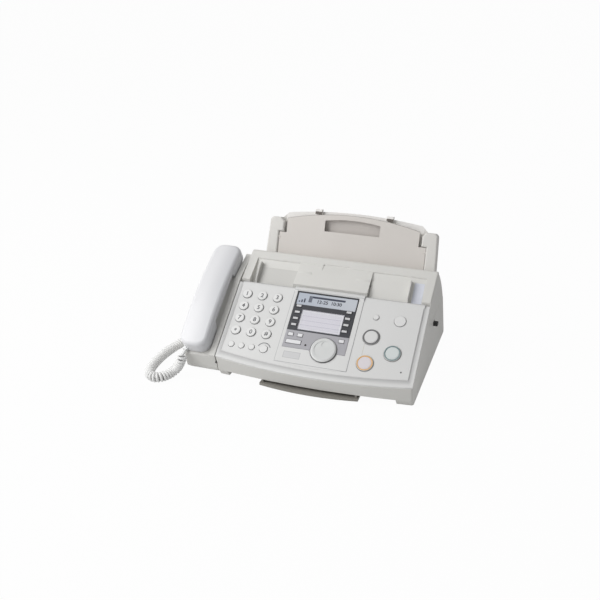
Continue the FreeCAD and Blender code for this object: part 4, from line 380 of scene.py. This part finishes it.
def displayFinish():
    finish = Finish("display")
    where = finish.onPanel()
    cells = finish.noise(display["cellScale"], 1, where)
    across = finish.step(finish.axis(where, "X"), *display["sides"])
    glass = finish.mix(across, display["left"], display["right"])
    tone = finish.mix(cells * display["cellShare"], glass, display["cell"])
    end = finish.patch(where, *display["end"])
    marks = finish.patch(where, *display["bar"]) * (1 - end) + end * display["endShare"]
    for level in range(display["levels"]):
        left = display["levelX"] + display["levelStep"] * level
        top = display["levelBase"] + display["levelRise"] * (level + 1)
        marks = marks + finish.patch(where, left, left + display["levelWidth"], display["levelBase"], top)
    finish.put(baseColor=finish.mix(marks, tone, display["mark"]))
    finish.put(roughness=display["rough"] + cells * display["spread"])
    finish.put(coatWeight=display["coat"], coatRoughness=display["coatRough"])
    return finish.material


# the directory card: ruled rows in a pale frame; each row's line is a share of the row's height
card = {
    "frame": (-0.0398, 0.0305, 0.0722, 0.1068, 0.0014), "frameTone": tint(248, 248, 250), "rowFrom": 0.0722,
    "rowStep": 0.0086, "line": (0.86, 0.90), "lineShare": 0.55, "lineTone": tint(188, 184, 200),
    "fibre": 900, "dark": tint(226, 223, 232), "pale": tint(238, 236, 242),
    "surface": (0.75, 0.1, 0.06, 0.0001),
}


def cardFinish():
    finish = Finish("card")
    where = finish.onPanel()
    height = (finish.axis(where, "Y") - card["rowFrom"]) / card["rowStep"]
    rows = finish.node("ShaderNodeMath", {"operation": "FRACT"}, {0: height})
    fibre = finish.noise(card["fibre"], 4)
    paper = finish.mix(fibre, card["dark"], card["pale"])
    tone = finish.mix(finish.step(rows, *card["line"]) * card["lineShare"], paper, card["lineTone"])
    tone = finish.mix(finish.border(where, *card["frame"]), tone, card["frameTone"])
    return finish.surface(tone, fibre, *card["surface"])


# the paper tray leans back; the faces of its two stops are dark; the part behind the handle slot is darker
# with painted shade, and its rim above the tension plate is the palest, a painted highlight
tray = {
    "origin": (0.03175, 0.06391, 0.150), "lean": math.radians(-20), "stop": (0.0573, 0.0723),
    "stopHeight": (0.0826, 0.0876), "stopFront": (0.0040, 0.0045), "stopTone": tint(104, 97, 92),
    "slot": (0.055, 0.056), "slotHeight": (0.050, 0.080), "slotShadeTone": tint(192, 185, 180), "slotShadeShare": 0.8,
    "rim": (0.067, 0.068), "rimSide": (0.125, 0.126), "rimHighlightTone": tint(242, 240, 237),
    "back": (0.0100, 0.0105), "dark": tint(216, 214, 210), "pale": tint(228, 226, 222),
    "surface": (0.55, 0.16, 0.35, 0.0002),
}


def trayFinish():
    finish = Finish("tray")
    grain = finish.grain()
    where = finish.local(tray["origin"], tray["lean"])
    aside = finish.unsigned(finish.axis(where, "X"))
    deep, height = finish.axis(where, "Y"), finish.axis(where, "Z")
    before = finish.under(deep, *tray["back"])
    rim = finish.step(height, *tray["rim"]) * finish.under(aside, *tray["rimSide"]) * before
    slot = finish.under(aside, *tray["slot"]) * finish.band(height, *tray["slotHeight"]) * before
    stop = finish.band(aside, *tray["stop"]) * finish.band(height, *tray["stopHeight"])
    tone = finish.mottle(grain, tray["dark"], tray["pale"])
    # painted highlight on the rim, then painted shade behind the handle slot
    tone = finish.mix(rim, tone, tray["rimHighlightTone"])
    tone = finish.mix(slot * tray["slotShadeShare"], tone, tray["slotShadeTone"])
    tone = finish.mix(stop * finish.under(deep, *tray["stopFront"]), tone, tray["stopTone"])
    return finish.surface(tone, grain, *tray["surface"])


# the tension plate lies on the tray: a thin darker line follows its arched upper edge, a painted shadow line
tension = {"crown": 0.086, "arch": 1.0417, "line": (0.0006, 0.0009), "lineTone": tint(168, 164, 160),
           "tone": tint(217, 212, 207), "surface": (0.5, 0.16, 0.25, 0.0002)}


def tensionFinish():
    finish = Finish("tension_plate")
    grain = finish.grain()
    where = finish.local(tray["origin"], tray["lean"])
    across = finish.axis(where, "X")
    below = tension["crown"] - across * across * tension["arch"] - finish.axis(where, "Z")
    dark, pale = shade(tension["tone"], plastic["dark"]), shade(tension["tone"], plastic["pale"])
    tone = finish.mottle(grain, dark, pale)
    # painted shadow line along the arched upper edge
    tone = finish.mix(finish.under(below, *tension["line"]), tone, tension["lineTone"])
    return finish.surface(tone, grain, *tension["surface"])


# the handset is whitest on its outer side: painted light and shade across its width, standing in for the
# shading of its rounded top
handset = {"sides": (-0.192, -0.152), "outer": tint(237, 237, 239), "inner": tint(207, 208, 211),
           "speck": 0.9, "speckShare": 0.15, "surface": (0.32, 0.12, 0.08, 0.0002)}


def shadedHandsetFinish():
    finish = Finish("handset")
    grain = finish.grain()
    across = finish.step(finish.axis(finish.place, "X"), *handset["sides"])
    # painted light on the outer side, painted shade on the inner side
    tone = finish.mix(across, handset["outer"], handset["inner"])
    tone = finish.mix(grain * handset["speckShare"], tone, shade(handset["inner"], handset["speck"]))
    return finish.surface(tone, grain, *handset["surface"])


# the jog dial: a flat grey top with a bright edge, a painted highlight, and a darker side, painted shade
dial = {
    "centre": (0.0133, 0.0391), "edge": (0.0190, 0.0200), "edgeHighlightTone": tint(229, 230, 229),
    "side": (0.0044, 0.0050), "sideShadeTone": tint(134, 135, 135), "mottle": 60, "dark": tint(211, 213, 212),
    "pale": tint(219, 220, 219), "grain": 1500, "surface": (0.38, 0.1, 0.05, 0.0001),
}


def dialFinish():
    finish = Finish("dial")
    grain = finish.grain(dial["grain"])
    where = finish.onPanel()
    edge = finish.step(finish.reach(where, *dial["centre"]), *dial["edge"])
    upper = finish.step(finish.axis(where, "Z"), *dial["side"])
    tone = finish.mix(finish.noise(dial["mottle"]), dial["dark"], dial["pale"])
    # painted highlight on the top's edge; the side below takes painted shade
    tone = finish.mix(edge, tone, dial["edgeHighlightTone"])
    return finish.surface(finish.mix(upper, dial["sideShadeTone"], tone), grain, *dial["surface"])


# circuit boards: green lacquer over a net of paler tracks
board = {"scale": (420, 260, 260), "track": (0.05, 0.09), "trackTone": tint(92, 132, 84),
         "lacquer": tint(28, 84, 52), "surface": (0.375, 0.15, 0.15, 0.0002)}


def boardFinish():
    finish = Finish("circuit_board")
    scaled = finish.node("ShaderNodeMapping", None, {"Vector": finish.place, "Scale": board["scale"]})
    inputs = {"Vector": scaled, "Scale": 1}
    net = finish.node("ShaderNodeTexVoronoi", {"feature": "DISTANCE_TO_EDGE"}, inputs)
    between = finish.step(net, *board["track"])
    tone = finish.mix(between, board["trackTone"], board["lacquer"])
    return finish.surface(tone, between, *board["surface"])


finishes = {name: moulding(name, *tone) for name, tone in tones.items()}
finishes |= {name: sheetMetal(name, *metal) for name, metal in metals.items()}
finishes |= {name: ringFinish(name + "_finish", *button) for name, button in buttons.items()}
finishes |= {name: shadedSideCapFinish(name, *cap) for name, cap in caps.items()}
finishes |= {name: clearFinish(name, *look) for name, look in clears.items()}
finishes["panel"] = panelFinish()
finishes["bezel"] = bezelFinish()
finishes["display"] = displayFinish()
finishes["card"] = cardFinish()
finishes["tray"] = trayFinish()
finishes["tension"] = tensionFinish()
finishes["handset"] = shadedHandsetFinish()
finishes["dial"] = dialFinish()
finishes["board"] = boardFinish()

# which finish each solid of the frame carries
dressed = {
    "case": ["base_case", "handset_cradle", "back_cover", "document_guide_right", "hook_switch"],
    # the left guide carries the darker tone of painted shade
    "guide": ["document_guide_left"],
    "panel": ["front_cover"],
    "tray": ["paper_tray"],
    "tension": ["tension_plate"],
    "exit": ["exit_guide"],
    "lever": ["release_lever"],
    "handset": ["handset_body", "handset_face"],
    "plug": ["cord_plug_base", "cord_plug_handset"],
    "bezel": ["display_bezel"],
    "display": ["display_window"],
    "card": ["directory_card"],
    "window": ["card_window"],
    "dial": ["jog_dial"],
    "key": [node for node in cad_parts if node.startswith("key_")],
    "low_key": ["menu_round_key", "speaker_key", "function_keys"],
    "menu_key": ["menu_keys"],
    "station_key": ["station_keys_left", "station_keys_right"],
    "rubber": ["rubber_feet"],
    "dark": ["line_jacks", "power_inlet", "image_sensor"],
    "gear": ["motor_pinion", "idler_gear"],
    "roller": ["platen_roller", "feed_roller", "pickup_roller"],
    "film": ["film_supply_roll", "film_takeup_roll"],
    "steel": ["case_screws", "roller_frame", "power_unit", "drive_motor"],
    "aluminium": ["thermal_head"],
    "board": ["main_board", "panel_board"],
}
dressed |= {button: [button] for button in buttons}
for finishName, nodes in dressed.items():
    for node in nodes:
        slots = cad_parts[node].data.materials
        slots.clear()
        slots.append(finishes[finishName])
print("finishes on every solid")

# curly cord: its listed route from the base's jack to the handset's, then a helix round that line, which
# swells from the tails to its full radius over a number of turns
cord = {
    "route": [
        (-0.20025, -0.04309, 0.0200), (-0.21200, -0.04350, 0.0190), (-0.22525, -0.04659, 0.0160),
        (-0.24225, -0.05709, 0.0115), (-0.25175, -0.07909, 0.0091), (-0.25575, -0.10709, 0.0091),
        (-0.25625, -0.13609, 0.0091), (-0.25375, -0.15809, 0.0091), (-0.24725, -0.17459, 0.0091),
        (-0.23625, -0.18259, 0.0091), (-0.22475, -0.18059, 0.0091), (-0.21725, -0.17059, 0.0091),
        (-0.21175, -0.15859, 0.0097), (-0.20575, -0.15159, 0.0155), (-0.19925, -0.15359, 0.0265),
        (-0.19475, -0.15459, 0.0370), (-0.19325, -0.14883, 0.0458), (-0.19325, -0.14108, 0.0472),
    ],
    "wire": 0.0047, "radius": 0.0064, "pitch": 0.0049, "ramp": 1.0, "tailIn": 0.016, "tailOut": 0.010,
    "sides": 12, "steps": 24, "blendFrom": (-0.19325, -0.13337, 0.0088),
}


def cordLine():  # points close together on a smooth curve along the route
    line = bpy.data.curves.new("cordRoute", "CURVE")
    line.dimensions = "3D"
    line.resolution_u = 24
    spline = line.splines.new("NURBS")
    spline.points.add(len(cord["route"]) - 1)
    for point, spot in zip(spline.points, cord["route"]):
        point.co = (*spot, 1)
    spline.order_u = 3
    spline.use_endpoint_u = True
    holder = bpy.data.objects.new("cordRoute", line)
    scene.collection.objects.link(holder)
    bpy.context.view_layer.update()
    read = bpy.data.meshes.new_from_object(holder)
    spots = [vertex.co.copy() for vertex in read.vertices]
    bpy.data.objects.remove(holder)
    bpy.data.meshes.remove(read)
    return spots


def evenly(spots, gap):  # points an equal distance apart on the line, and the line's length
    lengths = [0]
    for before, after in zip(spots, spots[1:]):
        lengths.append(lengths[-1] + (after - before).length)
    count = round(lengths[-1] / gap)
    placed, index = [], 0
    for step in range(count + 1):
        goal = lengths[-1] * step / count
        while index < len(spots) - 2 and lengths[index + 1] < goal:
            index += 1
        share = (goal - lengths[index]) / max(lengths[index + 1] - lengths[index], 1e-9)
        placed.append(spots[index].lerp(spots[index + 1], share))
    return placed, lengths[-1]


def carried(path):  # each point with the way ahead and two directions across it, carried on without twist
    across = None
    for index, spot in enumerate(path):
        ahead = (path[min(index + 1, len(path) - 1)] - path[max(index - 1, 0)]).normalized()
        across = ahead.cross(Vector((0, 0, 1))) if across is None else across - ahead * across.dot(ahead)
        across.normalize()
        yield spot, across.copy(), ahead.cross(across)


def curled(spots):
    gap = cord["pitch"] / cord["steps"]
    line, length = evenly(spots, gap)
    first, last = cord["tailIn"] / gap, (length - cord["tailOut"]) / gap
    winding = []
    for index, (spot, across, up) in enumerate(carried(line)):
        swell = min(max(min(index - first, last - index) / (cord["steps"] * cord["ramp"]), 0), 1)
        reach = cord["radius"] * swell * swell * (3 - 2 * swell)
        angle = math.tau * (index - first) / cord["steps"]
        winding.append(spot + across * reach * math.cos(angle) + up * reach * math.sin(angle))
    return winding


def tube(name, path, radius, sides):
    rings, faces = [], []
    for spot, across, up in carried(path):
        for side in range(sides):
            turn = math.tau * side / sides
            rings.append(spot + (across * math.cos(turn) + up * math.sin(turn)) * radius)
    for index in range(len(path) - 1):
        for side in range(sides):
            one, two = index * sides + side, index * sides + (side + 1) % sides
            faces.append((one, two, two + sides, one + sides))
    faces.append(tuple(reversed(range(sides))))
    faces.append(tuple(range(len(rings) - sides, len(rings))))
    mesh = bpy.data.meshes.new(name)
    mesh.from_pydata(rings, [], faces)
    made = bpy.data.objects.new(name, mesh)
    scene.collection.objects.link(made)
    for polygon in mesh.polygons:
        polygon.use_smooth = len(polygon.vertices) == 4
    return made


cordPath = curled(cordLine())
cordLength = sum((after - before).length for before, after in zip(cordPath, cordPath[1:]))
curlyCord = tube("curly_cord", cordPath, cord["wire"] / 2, cord["sides"])
curlyCord.data.materials.append(finishes["cord"])
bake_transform(curlyCord)
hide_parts("handset_cord")
print(f"cord curled, {cordLength:.2f} m of wire")


def seat(piece, place, body, finish, name):  # lays a piece modelled flat on its frame and lets it ride
    piece.name = name
    piece.matrix_world = place
    bpy.ops.object.select_all(action="DESELECT")
    piece.select_set(True)
    bpy.context.view_layer.objects.active = piece
    bpy.ops.object.transform_apply(location=True, rotation=True, scale=True)
    piece.data.materials.clear()
    piece.data.materials.append(finishes[finish])
    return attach(piece, body)


# plain digits printed on the number keys: the first key's place, the pitches, and the size of the signs
keypad = {"x": -0.145, "s": 0.1233, "pitchX": 0.0275, "pitchS": 0.0236, "top": 0.0040, "columns": 3,
          "size": 0.0106, "ink": 0.00005, "weight": 0.00022}
keyNames = [*"123456789", "star", "0", "hash"]
keySigns = "123456789*0#"


def lettered(text, size):  # text as a thin mesh, centred on the origin
    bpy.ops.object.select_all(action="DESELECT")
    bpy.ops.object.text_add()
    piece = bpy.context.object
    piece.data.body = text
    piece.data.size = size
    piece.data.extrude = keypad["ink"]
    piece.data.offset = keypad["weight"]
    bpy.ops.object.convert(target="MESH")
    piece = bpy.context.object
    corners = [Vector(corner) for corner in piece.bound_box]
    middle = (Vector(map(min, *corners)) + Vector(map(max, *corners))) / 2
    piece.data.transform(Matrix.Translation(-middle))
    return piece


for place, (key, sign) in enumerate(zip(keyNames, keySigns)):
    row, column = divmod(place, keypad["columns"])
    spot = (keypad["x"] + keypad["pitchX"] * column, keypad["s"] - keypad["pitchS"] * row, keypad["top"])
    digit = lettered(sign, keypad["size"])
    seat(digit, panelFrame @ Matrix.Translation(spot), "key_" + key, "print", "digit_" + key)
figures = lettered(display["figures"], display["size"])
seat(figures, panelFrame @ Matrix.Translation(display["place"]), "front_cover", "ink", "display_figures")
print("digits on the keys and the display")


def pick(piece, test):  # enters edit mode with the faces that pass the test selected
    for items in (piece.data.vertices, piece.data.edges, piece.data.polygons):
        for item in items:
            item.select = False
    for polygon in piece.data.polygons:
        polygon.select = test(polygon)
    bpy.ops.object.mode_set(mode="EDIT")
    bpy.ops.mesh.select_mode(type="FACE")


def softened(piece, width):  # small rounds on every hard edge
    bpy.ops.object.mode_set(mode="OBJECT")
    rounds = piece.modifiers.new("rounds", "BEVEL")
    rounds.width = width
    rounds.segments = 2
    bpy.ops.object.modifier_apply(modifier=rounds.name)
    bpy.ops.object.shade_smooth_by_angle(angle=math.radians(40))


def disc(shape):  # a round piece whose top is raised or sunk inside a margin
    bpy.ops.object.select_all(action="DESELECT")
    sides, radius, height = shape["sides"], shape["radius"], shape["height"]
    bpy.ops.mesh.primitive_cylinder_add(vertices=sides, radius=radius, depth=height)
    made = bpy.context.object
    pick(made, lambda polygon: polygon.normal.z > 0.9)
    bpy.ops.mesh.inset(thickness=shape["margin"], depth=shape["rise"])
    softened(made, shape["rounds"])
    return made


# busy lamp beside the wide key
lamp = {"place": (-0.0189, 0.0434, 0.0030), "sides": 32, "radius": 0.0018, "height": 0.0007,
        "margin": 0.00063, "rise": 0.00035, "rounds": 0.00014}
seat(disc(lamp), panelFrame @ Matrix.Translation(lamp["place"]), "front_cover", "lamp", "busy_lamp")

# bare plate on the recess floor beside the right document guide
plate = {"middle": (0.16875, 0.00442, 0.13469), "tilt": math.radians(41.88), "width": 0.0170,
         "length": 0.0460, "thick": 0.0006, "margin": 0.0010, "sunk": 0.0002, "rounds": 0.00015}
bpy.ops.object.select_all(action="DESELECT")
bpy.ops.mesh.primitive_cube_add(size=1, scale=(plate["width"], plate["length"], plate["thick"]))
sizePlate = bpy.context.object
bpy.ops.object.transform_apply(location=False, rotation=False, scale=True)
pick(sizePlate, lambda polygon: polygon.normal.z > 0.9)
bpy.ops.mesh.inset(thickness=plate["margin"], depth=-plate["sunk"])
softened(sizePlate, plate["rounds"])
plateFrame = Matrix.Translation(plate["middle"]) @ Matrix.Rotation(plate["tilt"], 4, "X")
seat(sizePlate, plateFrame, "back_cover", "sizePlate", "size_plate")
print("lamp and bare plate fitted")

blockRounds = 0.015  # of a block's least side


def cutBlock(middle, size, cuts):  # a box trimmed by planes, each given by a point and the way it faces
    bpy.ops.object.select_all(action="DESELECT")
    bpy.ops.mesh.primitive_cube_add(size=1, location=middle, scale=size)
    made = bpy.context.object
    bpy.ops.object.transform_apply(location=True, rotation=False, scale=True)
    for point, facing in cuts:
        pick(made, lambda polygon: True)
        bpy.ops.mesh.bisect(plane_co=point, plane_no=facing, use_fill=True, clear_outer=True)
        bpy.ops.object.mode_set(mode="OBJECT")
    softened(made, min(size) * blockRounds)
    return made


# blocks that close the bridge's top over the guides' slots: upper and lower faces keep to the bridge's slopes
blocks = {"places": (-0.0315, 0.0730), "y": 0.01049, "length": 0.0263, "width": 0.0039, "height": 0.014,
          "top": 0.1481, "topSlope": math.radians(29.47), "under": 0.14315, "underSlope": math.radians(41.88)}
blockSize = (blocks["length"], blocks["width"], blocks["height"])
for number, across in enumerate(blocks["places"], 1):
    upper, lower = (across, blocks["y"], blocks["top"]), (across, blocks["y"], blocks["under"])
    cuts = [(upper, (0, -math.sin(blocks["topSlope"]), math.cos(blocks["topSlope"]))),
            (lower, (0, math.sin(blocks["underSlope"]), -math.cos(blocks["underSlope"])))]
    block = cutBlock(upper, blockSize, cuts)
    seat(block, Matrix.Identity(4), "back_cover", "case", f"slot_block_{number}")

# strip that closes the seam between case and cradle at the front, and a small dark hole above it: a sunk disc
# in the black lever tone, painted shade standing in for the hole's depth
seam = {"middle": (-0.14015, -0.1310, 0.02075), "size": (0.00078, 0.0140, 0.0155),
        "face": (0, -0.1361, 0.0285), "facing": (0, -0.9545, -0.2983)}
strip = cutBlock(seam["middle"], seam["size"], [(seam["face"], seam["facing"])])
seat(strip, Matrix.Identity(4), "case", "case", "seam_strip")
hole = {"place": (-0.13985, -0.1368, 0.0299), "sides": 24, "radius": 0.0016, "height": 0.0016,
        "margin": 0.00032, "rise": -0.00048, "rounds": 0.00008}
outward = Vector(seam["facing"]).to_track_quat("Z", "Y").to_matrix().to_4x4()
# painted shade: the hole is a black sunk disc
seat(disc(hole), Matrix.Translation(hole["place"]) @ outward, "case", "lever", "seam_hole")
print("slots and seam closed")

# floor and soft light
studio = {"floor": tint(214, 214, 214), "dark": 0.99, "speck": 60, "rough": 0.9, "size": 40, "white": 0.97,
          "sky": 0.39}
lights = {
    "key": {"place": (-1.2, -0.9, 1.45), "power": 26, "size": 1.4},
    "fill": {"place": (-0.9, -1.7, 0.6), "power": 3.5, "size": 1.0},
}
bpy.ops.object.select_all(action="DESELECT")
bpy.ops.mesh.primitive_plane_add(size=studio["size"])
floor = bpy.context.object
floor.name = "floor"


def floorFinish():  # white where it is looked at or mirrored, a matt grey where it takes and gives light
    finish = Finish("floor")
    output = finish.tree.nodes["Material Output"]
    speck = finish.noise(studio["speck"])
    tone = finish.mix(speck, shade(studio["floor"], studio["dark"]), studio["floor"])
    finish.put(baseColor=tone, roughness=studio["rough"])
    glow = finish.node("ShaderNodeEmission", None, {"Color": (1, 1, 1, 1), "Strength": 1})
    looks = ("Is Camera Ray", "Is Glossy Ray", "Is Transmission Ray")
    direct, glossy, through = [finish.node("ShaderNodeLightPath", output=look) for look in looks]
    seen = (direct + glossy + through) * studio["white"]
    matt = Flow(finish, finish.shader.outputs[0])
    blended = finish.node("ShaderNodeMixShader", None, {0: seen, 1: matt, 2: glow})
    finish.feed(output.inputs["Surface"], blended)
    return finish.material


floor.data.materials.append(floorFinish())
for light in lights.values():
    bpy.ops.object.light_add(type="AREA", location=light["place"])
    source = bpy.context.object
    source.data.energy = light["power"]
    source.data.size = light["size"]
    source.rotation_mode = "QUATERNION"
    source.rotation_quaternion = aimed(light["place"])
world = bpy.data.worlds.new("studio")
scene.world = world
world.use_nodes = True
sky = world.node_tree
paths = sky.nodes.new("ShaderNodeLightPath")
strength = sky.nodes.new("ShaderNodeMix")
sky.links.new(paths.outputs["Is Camera Ray"], strength.inputs[0])
strength.inputs[2].default_value = studio["sky"]
strength.inputs[3].default_value = 1
sky.nodes["Background"].inputs["Color"].default_value = (1, 1, 1, 1)
sky.links.new(strength.outputs[0], sky.nodes["Background"].inputs["Strength"])
print("floor and light set")
